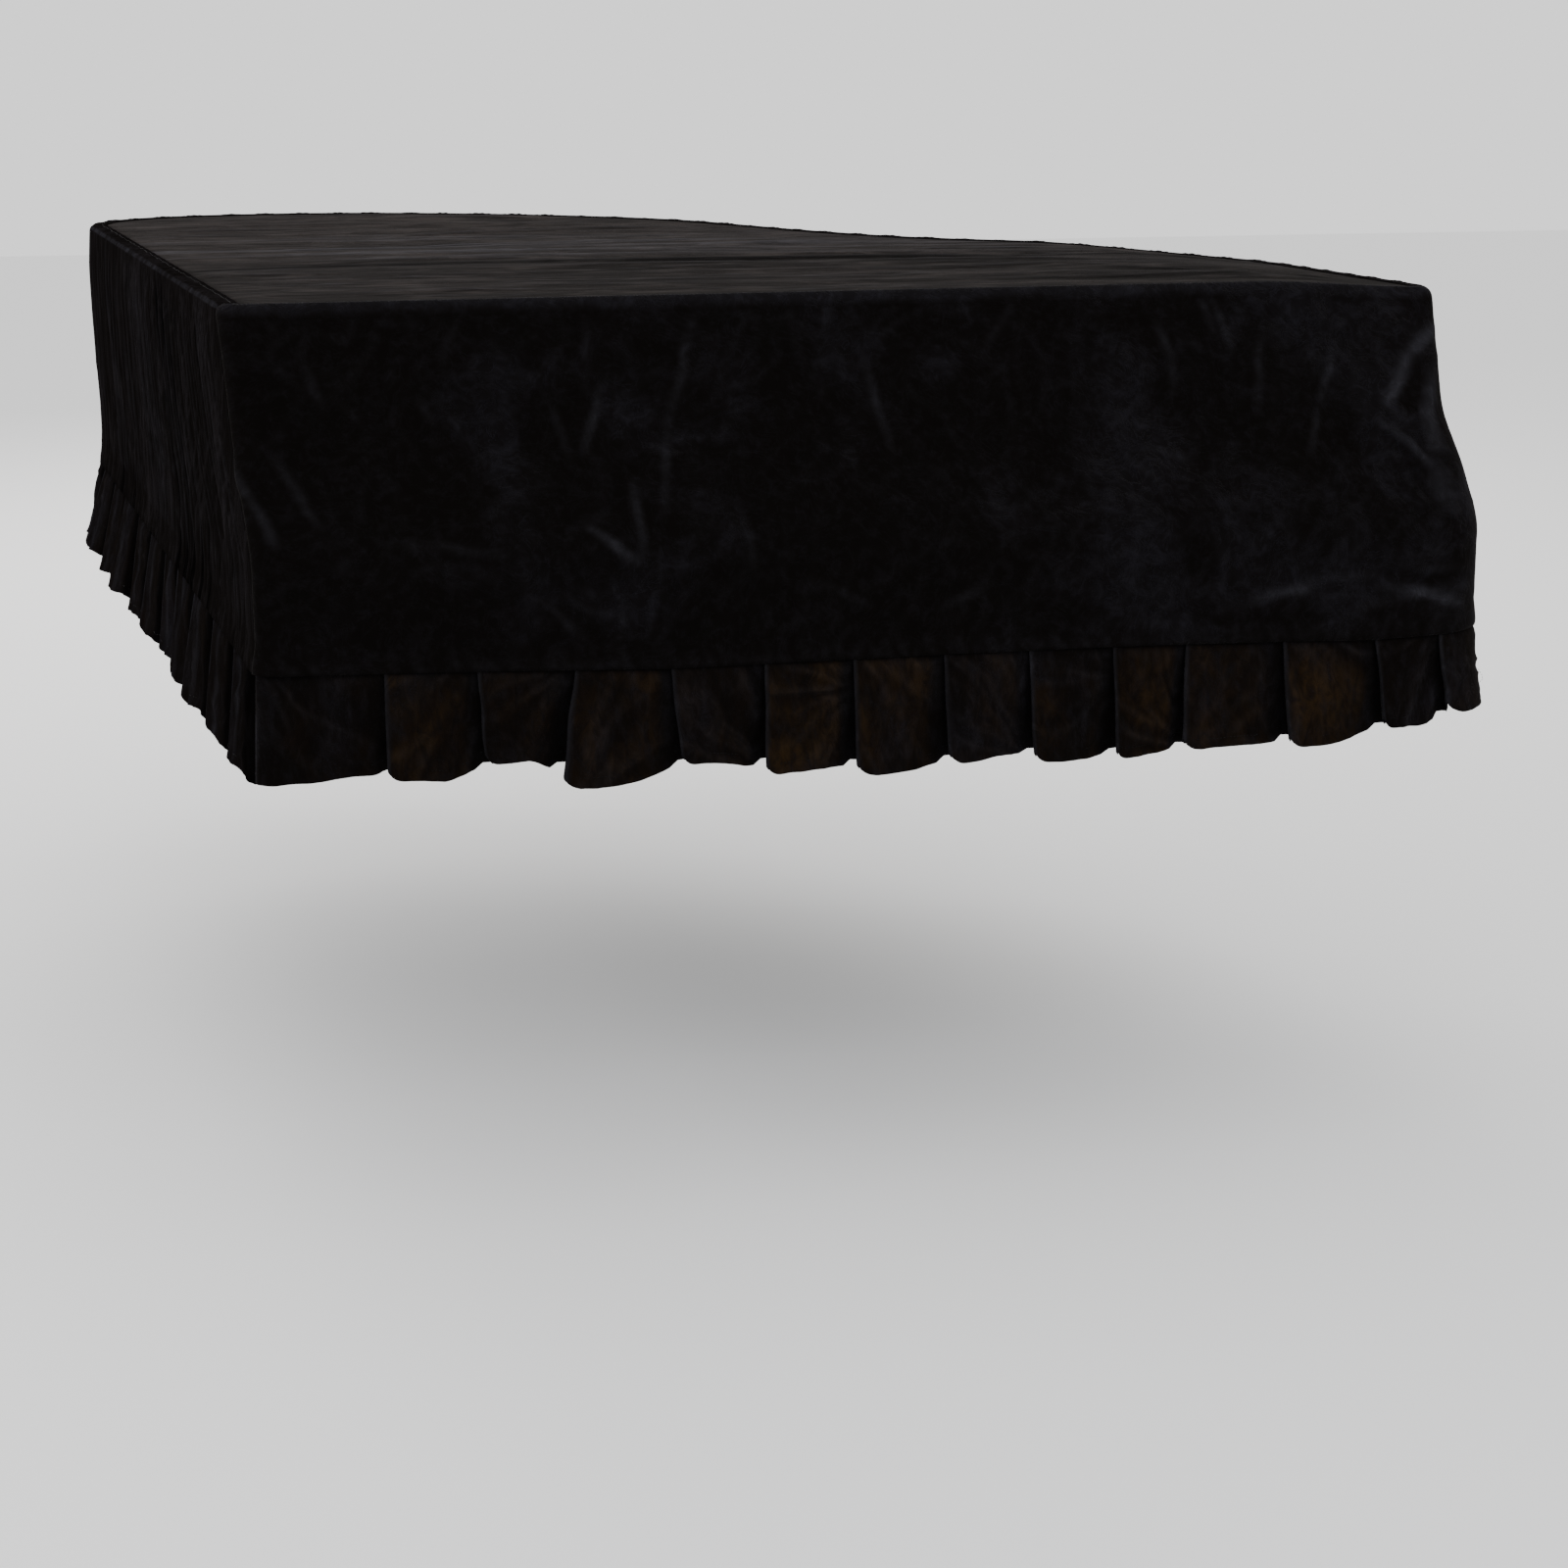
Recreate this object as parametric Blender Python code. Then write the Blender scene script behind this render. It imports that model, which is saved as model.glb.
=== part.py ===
"""Fitted velvet cover for a grand piano, hanging as it does over the closed lid.

Metres, +Z up. The origin lies on the lid under the top panel, on the middle line of the keyboard. The keyboard
side faces -Y, the straight side of the piano -X, and the tail points to +Y. Z = 0 is the face of the lid.
Plan points are first given as (right, back) from the front left corner of the lid, then moved to the origin.
"""

import bisect
import math
import random

import bmesh
import bpy
from mathutils import Vector
from mathutils.geometry import delaunay_2d_cdt, interpolate_bezier

# Cloth
CLOTH = 0.002          # velvet with its pile
SEWN_GAP = 0.0010      # between two panels at a seam
TOP_SEAM_GAP = 0.0018  # the same round the top panel

# The lid that the cover fits
LID_WIDTH = 1.508      # straight side to keyboard's right end
LID_LENGTH = 1.620     # front edge to the tip of the tail
ORIGIN_BACK = 0.600    # from the lid's front edge back to the origin
BAND = 0.025           # how far the gathered side panel comes in over the lid's edge
FRONT_LIP = 0.005      # the same for the plain front panel
EDGE_ROUND = 0.008     # drop over which the cloth turns down at the lid's edge

# The lid's curve from the end of the straight side, round the tail, to the right cheek:
# place, heading of travel in degrees from +X, and length of the curve's handles in and out
RIM = (
    # right, back, heading, handle_in, handle_out
    (-0.0165, 1.360, 90, 0.00, 0.16),
    (0.350, LID_LENGTH, 0, 0.22, 0.22),
    (0.940, 1.260, -68, 0.19, 0.16),
    (1.198, 0.796, -38, 0.17, 0.15),
    (LID_WIDTH, 0.360, -90, 0.21, 0.00),
)

# How the front falls from the lid's front edge over the keyboard: drop, and reach in front of that edge
FRONT_FALL = (
    (0.000, 0.000), (EDGE_ROUND, 0.000), (0.060, 0.038), (0.152, 0.095), (0.262, 0.203), (0.350, 0.206),
    (0.420, 0.206),
)
# Radius of the corners, also by drop
LEFT_CORNER = ((0.000, BAND), (EDGE_ROUND, BAND), (0.060, 0.016), (0.420, 0.016))
RIGHT_CORNER = (
    (0.000, BAND), (EDGE_ROUND, BAND), (0.060, 0.036), (0.152, 0.060), (0.262, 0.092), (0.350, 0.100),
    (0.420, 0.100),
)
# How far the cloth of the right side hangs beyond the lid, by drop too
RIGHT_BEYOND = (
    (0.000, 0.006), (EDGE_ROUND, 0.008), (0.060, -0.001), (0.152, -0.007), (0.262, 0.000), (0.350, 0.003),
    (0.420, 0.001),
)
# The top sinks towards the rounded right cheek: where that starts, and how deep it is at the lid's right end
CHEEK_SINK_START = 1.260
CHEEK_SINK = 0.011
SINK_ENDS = 0.152      # drop at which the side hangs level again

# Drop of the seam that the flounce hangs from: along the front, then round the sides as a share of the way
FRONT_SEAM = (
    (0.00, 0.368), (0.22, 0.376), (0.45, 0.387), (0.80, 0.391), (1.07, 0.396), (1.33, 0.406), (1.50, 0.404),
)
SIDE_SEAM = ((0.00, 0.368), (0.10, 0.364), (0.38, 0.360), (0.70, 0.376), (1.00, 0.404))

# Rows of the front panel by drop (None is the seam's), its columns as shares of the way, steps round a corner
FRONT_DROPS = (
    0.0, 0.0, EDGE_ROUND, 0.034, 0.060, 0.090, 0.121, 0.152, 0.188, 0.225, 0.262, 0.292, 0.321, 0.350, None,
)
FRONT_MARKS = [i / 34 for i in range(35)]
FRONT_ARC_STEPS = 4

# Soft ridges and hollows of the front panel: two ends as (right, drop), half width, and height of the ridge
FRONT_CREASES = (
    # right_a, drop_a, right_b, drop_b, half_width, height
    (0.03, 0.150, 0.10, 0.262, 0.030, 0.006),
    (0.10, 0.262, 0.30, 0.275, 0.035, 0.005),
    (0.20, 0.040, 0.16, 0.200, 0.045, -0.004),
    (0.42, 0.130, 0.37, 0.250, 0.035, 0.005),
    (0.34, 0.225, 0.44, 0.270, 0.030, 0.006),
    (0.53, 0.060, 0.48, 0.240, 0.040, 0.004),
    (0.72, 0.070, 0.77, 0.170, 0.035, 0.004),
    (0.90, 0.120, 0.98, 0.300, 0.050, -0.004),
    (1.12, 0.030, 1.16, 0.130, 0.035, 0.004),
    (1.26, 0.080, 1.22, 0.210, 0.040, 0.004),
    (1.46, 0.040, 1.34, 0.150, 0.035, 0.010),
    (1.32, 0.165, 1.45, 0.285, 0.030, -0.008),
    (1.36, 0.140, 1.49, 0.215, 0.030, 0.008),
    (1.25, 0.385, 1.47, 0.372, 0.022, 0.005),
    (1.30, 0.345, 1.47, 0.350, 0.022, -0.005),
    (1.03, 0.385, 1.22, 0.350, 0.030, 0.004),
)

# Waves across the top panel: left and right end, back at each of them, half width, and height of the ridge
TOP_WAVES = (
    # right_a, back_a, right_b, back_b, half_width, height
    (0.05, 0.120, 1.10, 0.160, 0.050, 0.003),
    (0.90, 0.210, 1.42, 0.090, 0.040, 0.005),
    (1.00, 0.300, 1.45, 0.260, 0.040, 0.005),
    (0.04, 0.420, 1.45, 0.370, 0.045, 0.006),
    (0.04, 0.560, 1.30, 0.540, 0.045, 0.006),
    (0.10, 0.720, 0.85, 0.690, 0.060, 0.004),
    (0.45, 0.830, 1.08, 0.790, 0.050, 0.005),
    (0.06, 0.950, 0.70, 0.930, 0.060, 0.004),
    (0.30, 1.120, 0.90, 1.090, 0.060, 0.005),
    (0.10, 1.270, 0.72, 1.300, 0.060, 0.004),
    (0.25, 1.450, 0.68, 1.430, 0.050, 0.005),
)

NET_SPACING = 0.082     # of the top panel's inner points
NET_KEEP_OFF = 0.028    # from its edge

# Gathers of the side panel
SIDE_STEP = 0.030      # from the crest of a gather to the hollow beside it
SIDE_ROWS = (
    # drop (the seam's in the last row), inward, gather_depth
    (0.000, BAND, 0.0009),
    (0.000, 0.009, 0.0016),
    (EDGE_ROUND, 0.000, 0.0022),
    (0.060, -0.003, 0.0042),
    (0.152, -0.001, 0.0058),
    (0.262, 0.003, 0.0062),
    (0.350, 0.002, 0.0022),
    (None, 0.001, 0.0012),
)

# Knife pleats of the front flounce: where each fold's edge hangs at the seam, how far to the right its hem
# swings, how far it stands out there, and the drop of the hem
FRONT_PLEATS = (
    # edge, swing, stand_out, hem_drop
    (0.134, -0.002, 0.022, 0.494), (0.236, 0.004, 0.012, 0.477), (0.345, -0.022, 0.036, 0.508),
    (0.454, 0.008, 0.020, 0.498), (0.563, -0.004, 0.026, 0.513), (0.668, -0.002, 0.028, 0.521),
    (0.778, 0.003, 0.020, 0.516), (0.883, 0.002, 0.026, 0.524), (0.989, 0.000, 0.026, 0.526),
    (1.083, -0.008, 0.024, 0.520), (1.210, 0.004, 0.026, 0.526), (1.333, 0.008, 0.024, 0.516),
    (1.420, 0.006, 0.022, 0.498),
)
CORNER_PANEL = (0.005, 0.490)   # stand out and hem drop of the plain panel round the left corner
CHEEK_PANEL = (0.009, 0.464)    # the same past the last fold, round the right corner
SIDE_PITCH = 0.150              # from one fold's edge to the next
# How far the side's folds stand out, and how much longer or shorter they hang, by share of the way round
# from the right joint
SIDE_STAND_OUT = (
    (0.00, 0.020), (0.50, 0.028), (0.62, 0.038), (0.75, 0.024), (0.92, 0.018), (1.00, 0.008),
)
SIDE_LENGTHEN = (
    (0.00, -0.012), (0.12, 0.000), (0.50, 0.000), (0.60, -0.020), (0.66, -0.020), (0.78, -0.002),
    (0.90, -0.004), (1.00, -0.010),
)
FLOUNCE_HEIGHT = 0.132
UNEVEN_EDGE = 0.12              # of the pitch, either way
UNEVEN_SWING = 0.008
UNEVEN_STAND_OUT = (-0.004, 0.007)
UNEVEN_HEM = 0.005
UNDERLAP = 0.013                # how far the cloth runs on behind the next fold
SEAM_LAYER = 0.0034             # from one layer to the next where they are sewn down
HEM_FOLD_RADIUS = 0.004
FLOUNCE_ROWS = (0.0, 0.32, 0.68, 1.0)
LEAD_SHARES = (0.0, 0.06, 0.12, 0.19, 0.35, 0.65)   # columns before the first fold, close at the corner
LAST_SHARES = (0.20, 0.36, 0.52, 0.68, 0.84, 1.0)   # columns after the last fold

SEED = 11


def between(rows, at):
    """The value that a table of (place, value) rows gives at a place, along straight lines."""
    places = [row[0] for row in rows]
    i = min(max(bisect.bisect_right(places, at), 1), len(rows) - 1)
    (x0, y0), (x1, y1) = rows[i - 1], rows[i]
    share = min(max((at - x0) / (x1 - x0), 0.0), 1.0)
    return y0 + (y1 - y0) * share


def eased(share):
    share = min(max(share, 0.0), 1.0)
    return share * share * (3 - 2 * share)


def to_frame(right, back, z):
    return Vector((right - LID_WIDTH / 2, back - ORIGIN_BACK, z))


def ridge(rows, right, along):
    """Height of the soft ridges and hollows of a table at one point of a panel."""
    height = 0.0
    for right_a, along_a, right_b, along_b, half_width, top in rows:
        run = Vector((right_b - right_a, along_b - along_a))
        off = Vector((right - right_a, along - along_a))
        share = off.dot(run) / run.length_squared
        beside = (off - run * min(max(share, 0.0), 1.0)).length / half_width
        fade = eased(1.15 - abs(2 * share - 1) * 0.75)
        height += top * fade * math.exp(-beside * beside)
    return height


class Run:
    """A line in plan with its outward directions and a drop at each point, read by distance along it."""

    def __init__(self, points, outwards, drops):
        self.points, self.outwards, self.drops = points, outwards, drops
        self.marks = [0.0]
        for a, b in zip(points, points[1:]):
            self.marks.append(self.marks[-1] + (b - a).length)
        self.length = self.marks[-1]

    def at(self, distance):
        """The point there, the outward direction and the drop."""
        i = min(max(bisect.bisect_right(self.marks, distance), 1), len(self.points) - 1)
        share = (distance - self.marks[i - 1]) / (self.marks[i] - self.marks[i - 1])
        point = self.points[i - 1].lerp(self.points[i], share)
        outward = self.outwards[i - 1].lerp(self.outwards[i], share).normalized()
        return point, outward, self.drops[i - 1] + (self.drops[i] - self.drops[i - 1]) * share


def rim_run():
    """The lid's curve from the end of the straight side to the right cheek."""
    points = []
    for (xa, ya, turn_a, _, out_a), (xb, yb, turn_b, in_b, _) in zip(RIM, RIM[1:]):
        a, b = Vector((xa, ya)), Vector((xb, yb))
        leave = Vector((math.cos(math.radians(turn_a)), math.sin(math.radians(turn_a)))) * out_a
        arrive = Vector((math.cos(math.radians(turn_b)), math.sin(math.radians(turn_b)))) * in_b
        stretch = interpolate_bezier(a, a + leave, b - arrive, b, 49)
        points += [p.to_2d() for p in stretch][bool(points):]
    outwards = []
    for i in range(len(points)):
        travel = points[min(i + 1, len(points) - 1)] - points[max(i - 1, 0)]
        outwards.append(Vector((-travel.y, travel.x)).normalized())
    return Run(points, outwards, [0.0] * len(points))


RIM_RUN = rim_run()
SPINE_END = RIM[0][1]
CHEEK_START = RIM[-1][1]
SIDE_LENGTH = SPINE_END + RIM_RUN.length + CHEEK_START


def side_point(distance, drop):
    """Plan point of the side at a drop, by distance at the lid's height, and its outward direction.

    The two straight stretches grow forward with the drop, since the front falls away over the keyboard.
    """
    reach = between(FRONT_FALL, drop)
    if distance < SPINE_END:
        start = between(LEFT_CORNER, drop) - reach + SEWN_GAP
        first = between(LEFT_CORNER, 0.0)
        share = (distance - first) / (SPINE_END - first)
        return Vector((RIM[0][0] * share, start + (SPINE_END - start) * share)), Vector((-1.0, 0.0))
    if distance < SPINE_END + RIM_RUN.length:
        return RIM_RUN.at(distance - SPINE_END)[:2]
    end = between(RIGHT_CORNER, drop) - reach + SEWN_GAP
    last = between(RIGHT_CORNER, 0.0)
    share = (distance - SPINE_END - RIM_RUN.length) / (CHEEK_START - last)
    right = LID_WIDTH + between(RIGHT_BEYOND, drop) * share
    return Vector((right, CHEEK_START + (end - CHEEK_START) * share)), Vector((1.0, 0.0))


def side_ends():
    return between(LEFT_CORNER, 0.0), SIDE_LENGTH - between(RIGHT_CORNER, 0.0)


def front_stations(drop, line_marks, arc_steps):
    """Plan points and outward directions round the left corner, along the front and round the right corner."""
    reach = between(FRONT_FALL, drop)
    left, right = between(LEFT_CORNER, drop), between(RIGHT_CORNER, drop)
    right_edge = LID_WIDTH + between(RIGHT_BEYOND, drop)
    stations = []
    for step in range(arc_steps):
        turn = math.radians(180 + 90 * step / arc_steps)
        out = Vector((math.cos(turn), math.sin(turn)))
        stations.append((Vector((left, left - reach)) + out * left, out))
    for mark in line_marks:
        across = left + (right_edge - left - right) * mark
        stations.append((Vector((across, -reach)), Vector((0.0, -1.0))))
    for step in range(1, arc_steps + 1):
        turn = math.radians(270 + 90 * step / arc_steps)
        out = Vector((math.cos(turn), math.sin(turn)))
        stations.append((Vector((right_edge - right, right - reach)) + out * right, out))
    return stations


def velvet():
    material = bpy.data.materials.new("black_velvet")
    material.use_nodes = True
    shader = material.node_tree.nodes["Principled BSDF"]
    shader.inputs["Base Color"].default_value = (0.020, 0.019, 0.024, 1.0)
    shader.inputs["Roughness"].default_value = 0.85
    shader.inputs["Metallic"].default_value = 0.0
    shader.inputs["Sheen Weight"].default_value = 0.6
    return material


def make_object(name, mesh_parts, material, parent):
    """An object of one sheet, thickened evenly to both sides of its middle surface."""
    mesh = bpy.data.meshes.new(name)
    model = bmesh.new()
    vertices = [model.verts.new(point) for point in mesh_parts[0]]
    for face in mesh_parts[1]:
        model.faces.new([vertices[i] for i in face])
    model.to_mesh(mesh)
    model.free()
    mesh.shade_smooth()
    mesh.materials.append(material)
    sheet = bpy.data.objects.new(name, mesh)
    bpy.context.scene.collection.objects.link(sheet)
    sheet.parent = parent
    thickness = sheet.modifiers.new("cloth_thickness", "SOLIDIFY")
    thickness.thickness = CLOTH
    thickness.offset = 0.0
    return sheet


def grid(rows):
    """Points and faces of a sheet whose rows hold equally many points."""
    across = len(rows[0])
    points = [point for row in rows for point in row]
    faces = [
        (r * across + c, (r + 1) * across + c, (r + 1) * across + c + 1, r * across + c + 1)
        for r in range(len(rows) - 1)
        for c in range(across - 1)
    ]
    return points, faces


def side_columns(rng):
    """Places of the side panel's gathers along its top edge, and how strongly each stands out or in."""
    first, last = side_ends()
    count = round((last - first) / SIDE_STEP)
    columns = []
    for i in range(count + 1):
        place = first + (last - first) * i / count
        inside = 0 < i < count
        if inside:
            place += rng.uniform(-0.28, 0.28) * SIDE_STEP
        strength = (1 if i % 2 else -1) * rng.uniform(0.45, 1.0) * inside
        lean = rng.uniform(-0.14, 0.14) * SIDE_STEP * inside
        columns.append((place, strength, lean))
    return columns


def sink(right, drop=0.0):
    """How much lower than the lid's face the cloth lies towards the right cheek. It fades out down the side."""
    deep = eased((right - CHEEK_SINK_START) / (LID_WIDTH - CHEEK_SINK_START))
    return CHEEK_SINK * deep * (1 - eased(drop / SINK_ENDS))


def side_seam_drop(distance):
    return between(SIDE_SEAM, distance / SIDE_LENGTH)


def side_panel_rows(columns):
    rows = []
    for level, inward, depth in SIDE_ROWS:
        row = []
        for i, (place, strength, lean) in enumerate(columns):
            drop = side_seam_drop(place) - SEWN_GAP / 2 if level is None else level
            down = drop / side_seam_drop(place)
            point, out = side_point(place + lean * down * (1 - down) * 4, drop)
            z = CLOTH / 2 - drop - sink(point.x, drop)
            if level == 0:
                point = point - out * inward
                z += (abs(strength) + strength) * depth
            else:
                near_joint = min(i, len(columns) - 1 - i) / 3
                point = point + out * (strength * depth - inward * min(near_joint, 1.0))
            row.append(to_frame(point.x, point.y, z))
        rows.append(row)
    return rows


def front_lip(index, count):
    """How far the front panel's top edge lies in over the lid: wider at its two corners, where the band ends."""
    from_end = min(index, count - 1 - index)
    return FRONT_LIP + (BAND - FRONT_LIP) * (1 - min(from_end / FRONT_ARC_STEPS, 1.0))


def front_panel_rows():
    """Rows of points from the lip over the lid's edge down to the flounce's seam, whose drop is the table's."""
    rows = []
    for row_number, drop in enumerate(FRONT_DROPS):
        row = []
        level = between(FRONT_SEAM, LID_WIDTH / 2) if drop is None else drop
        stations = front_stations(level, FRONT_MARKS, FRONT_ARC_STEPS)
        for i, (point, out) in enumerate(stations):
            here = between(FRONT_SEAM, point.x) - SEWN_GAP / 2 if drop is None else drop
            from_end = min(i, len(stations) - 1 - i)
            soft = ridge(FRONT_CREASES, point.x, here) * min(from_end / 2, 1.0)
            if row_number < 2:
                soft = -front_lip(i, len(stations)) * (1 if row_number == 0 else 0.3)
            point = point + out * soft
            row.append(to_frame(point.x, point.y, CLOTH / 2 - here - sink(point.x, here)))
        rows.append(row)
    return rows


def inset_loop(points, distance):
    """A closed loop of plan points, travelled clockwise, moved inward by a distance."""
    moved = []
    count = len(points)
    for i, point in enumerate(points):
        before, after = points[i - 1], points[(i + 1) % count]
        first = (point - before).to_2d().normalized()
        second = (after - point).to_2d().normalized()
        travel = (first + second).normalized()
        inward = Vector((travel.y, -travel.x, 0.0))
        moved.append(point + inward * (distance / max(travel.dot(first), 0.5)))
    return moved


def top_panel_parts(seam_side, seam_front):
    """The flat panel inside the seams: its edge repeats the neighbours' points, its middle is an even net."""
    loop = [point.copy() for point in seam_side]
    loop += [point.copy() for point in reversed(seam_front)][1:-1]
    loop = inset_loop(loop, TOP_SEAM_GAP)
    edge = [point.to_2d() for point in loop]
    inner = []
    for i in range(1, round(LID_WIDTH / NET_SPACING)):
        for j in range(1, round(LID_LENGTH / NET_SPACING)):
            right = (i - 0.5 * (j % 2 == 0)) * NET_SPACING
            spot = to_frame(right, j * NET_SPACING, 0.0).to_2d()
            if inside_loop(spot, edge) and min((spot - p).length for p in edge) > NET_KEEP_OFF:
                inner.append(spot)
    count = len(edge)
    border = [(i, (i + 1) % count) for i in range(count)]
    flat, _, faces, _, _, _ = delaunay_2d_cdt(edge + inner, border, [], 1, 1e-6)
    points = []
    for i, spot in enumerate(flat):
        right, back = spot.x + LID_WIDTH / 2, spot.y + ORIGIN_BACK
        soft = max(ridge(TOP_WAVES, right, back), 0.0)
        points.append(Vector((spot.x, spot.y, loop[i].z if i < count else CLOTH / 2 + soft - sink(right))))
    return points, [tuple(face) for face in faces]


def inside_loop(spot, edge):
    """Whether a point lies inside a closed loop, by counting the edges to its right."""
    inside = False
    for a, b in zip(edge, edge[1:] + edge[:1]):
        if (a.y > spot.y) != (b.y > spot.y):
            cross = a.x + (spot.y - a.y) * (b.x - a.x) / (b.y - a.y)
            inside ^= cross > spot.x
    return inside


def pleat_profile(share, opened, pitch):
    """Section of one knife pleat as (along, out) pairs, from its fold's edge to the back of the next fold.

    opened is how far the fold stands out at this height, and the layers lie on each other at the seam.
    """
    radius = SEAM_LAYER / 2 + (HEM_FOLD_RADIUS - SEAM_LAYER / 2) * share
    top = 2 * SEAM_LAYER + max(opened - 2 * SEAM_LAYER, 0.0) * share
    top = max(top, 4 * radius)
    lap = UNDERLAP
    return [
        (radius, top - 2 * radius),
        (0.0, top - radius),
        (radius, top),
        (pitch * 0.34, top * (0.80 + 0.14 * share)),
        (pitch * 0.68, top * (0.42 + 0.20 * share)),
        (pitch - 0.006, top * 0.04),
        (pitch + lap - radius, 0.0),
        (pitch + lap, radius),
        (pitch + lap - radius, 2 * radius),
    ]


def flounce_rows(run, pleats, ends):
    """Rows of a pleated strip that hangs from a run. pleats holds (edge distance, swing, stand out, hem drop)."""
    (first_out, first_hem), (last_out, last_hem) = ends
    rows = []
    for share in FLOUNCE_ROWS:
        row = []

        def hang(distance, out, hem):
            point, outward, seam = run.at(min(max(distance, 0.0), run.length))
            top = seam + SEWN_GAP / 2
            drop = top + (hem - top) * share
            row.append(to_frame(*(point + outward * out), CLOTH / 2 - drop))

        lead = pleats[0][0] + pleats[0][1] * share
        for part in LEAD_SHARES:
            hang(lead * part, first_out * share * (1 - part ** 2), first_hem)
        radius = SEAM_LAYER / 2 + (HEM_FOLD_RADIUS - SEAM_LAYER / 2) * share
        for along, out in ((UNDERLAP - radius, 0.0), (UNDERLAP, radius), (UNDERLAP - radius, 2 * radius)):
            hang(lead + along, out, first_hem)
        for k, (seam_edge, swing, opened, hem) in enumerate(pleats):
            last = k == len(pleats) - 1
            edge = seam_edge + swing * share
            pitch = (run.length if last else pleats[k + 1][0] + pleats[k + 1][1] * share) - edge
            next_hem = last_hem if last else pleats[k + 1][3]
            section = pleat_profile(share, opened, pitch)
            if last:
                ahead = section[:3]
                for along, out in ahead:
                    hang(edge + along, out, hem)
                for part in LAST_SHARES:
                    out = ahead[2][1] * (1 - part) + last_out * share * part
                    hang(edge + pitch * part, out, hem + (last_hem - hem) * part)
                continue
            for i, (along, out) in enumerate(section):
                blend = eased((i - 5) / 3)
                hang(edge + along, out, hem + (next_hem - hem) * blend * 0.5)
        rows.append(row)
    return rows


def front_run():
    """The line of the front flounce's seam, from the left joint round both corners to the right one."""
    level = between(FRONT_SEAM, LID_WIDTH / 2)
    stations = front_stations(level, FRONT_MARKS, arc_steps=12)
    drops = [between(FRONT_SEAM, point.x) for point, _ in stations]
    return Run([point for point, _ in stations], [out for _, out in stations], drops)


def side_run():
    """The line of the side flounce's seam, from the right joint round the tail to the left one."""
    first, last = side_ends()
    steps = 400
    marks = [first + (last - first) * i / steps for i in range(steps + 1)]
    stations = [side_point(mark, side_seam_drop(mark)) for mark in reversed(marks)]
    drops = [side_seam_drop(mark) for mark in reversed(marks)]
    return Run([point for point, _ in stations], [out for _, out in stations], drops)


def front_pleats(run):
    """The table's pleats, with each edge as a distance along the run."""
    corner = run.points[0].y + between(FRONT_FALL, between(FRONT_SEAM, LID_WIDTH / 2))
    start = corner * math.pi / 2 - corner
    return [(start + edge, swing, stand_out, hem) for edge, swing, stand_out, hem in FRONT_PLEATS]


def side_pleats(run, rng):
    """Pleats at an even pitch with the small unevenness of sewing by hand."""
    count = round(run.length / SIDE_PITCH)
    pitch = run.length / count
    pleats = []
    for i in range(1, count):
        edge = (i + rng.uniform(-UNEVEN_EDGE, UNEVEN_EDGE)) * pitch
        share = edge / run.length
        stand_out = between(SIDE_STAND_OUT, share) + rng.uniform(*UNEVEN_STAND_OUT)
        length = FLOUNCE_HEIGHT + between(SIDE_LENGTHEN, share) + rng.uniform(-UNEVEN_HEM, UNEVEN_HEM)
        swing = rng.uniform(-UNEVEN_SWING, UNEVEN_SWING)
        pleats.append((edge, swing, stand_out, run.at(edge)[2] + length))
    return pleats


def main():
    for old in list(bpy.data.objects):
        bpy.data.objects.remove(old, do_unlink=True)
    rng = random.Random(SEED)
    cloth = velvet()
    cover = bpy.data.objects.new("piano_cover", None)
    bpy.context.scene.collection.objects.link(cover)

    columns = side_columns(rng)
    side = side_panel_rows(columns)
    front = front_panel_rows()
    make_object("side_panel", grid(side), cloth, cover)
    make_object("front_panel", grid(front), cloth, cover)
    make_object("top_panel", top_panel_parts(side[0], front[0]), cloth, cover)

    along_front = front_run()
    along_side = side_run()
    strip = flounce_rows(along_front, front_pleats(along_front), (CORNER_PANEL, CHEEK_PANEL))
    make_object("front_flounce", grid(strip), cloth, cover)
    strip = flounce_rows(along_side, side_pleats(along_side, rng), (CHEEK_PANEL, CORNER_PANEL))
    make_object("side_flounce", grid(strip), cloth, cover)


main()
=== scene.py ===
"""Looks of a fitted velvet cover for a grand piano, as it hangs over the closed lid.

Metres, +Z up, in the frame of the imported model: -Y is the keyboard side, -X the straight side, +Y the tail,
and Z = 0 the face of the lid. Plan points are first given as (right, back) from the lid's front left corner.
Each panel is one thin sheet on the folds of its solid, with finer gathers, creases and pleats laid over them.
"""

import math
import random

import bpy
import numpy as np
from mathutils import Matrix, Vector
from mathutils.geometry import delaunay_2d_cdt, interpolate_bezier


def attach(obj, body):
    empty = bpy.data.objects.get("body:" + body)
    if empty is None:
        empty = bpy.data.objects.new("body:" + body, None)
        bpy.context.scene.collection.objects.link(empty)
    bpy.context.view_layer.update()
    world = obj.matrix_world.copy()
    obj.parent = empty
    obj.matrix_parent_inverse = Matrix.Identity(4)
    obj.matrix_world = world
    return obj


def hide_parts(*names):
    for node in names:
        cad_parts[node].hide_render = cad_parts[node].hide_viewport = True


bl_info = {
    "name": "Velvet Piano Cover",
    "version": (1, 0, 0),
    "blender": (4, 5, 0),
    "location": "View3D > Sidebar > Piano Cover",
    "description": "Builds a gathered velvet cover with a pleated flounce for a grand piano",
    "category": "Object",
}

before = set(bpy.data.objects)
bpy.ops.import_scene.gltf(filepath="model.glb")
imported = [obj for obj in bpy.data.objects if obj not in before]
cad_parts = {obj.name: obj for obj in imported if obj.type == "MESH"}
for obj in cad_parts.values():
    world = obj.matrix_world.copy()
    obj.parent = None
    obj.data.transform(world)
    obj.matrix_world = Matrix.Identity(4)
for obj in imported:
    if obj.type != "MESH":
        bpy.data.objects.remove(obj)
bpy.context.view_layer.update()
BODY = "root"

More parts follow.
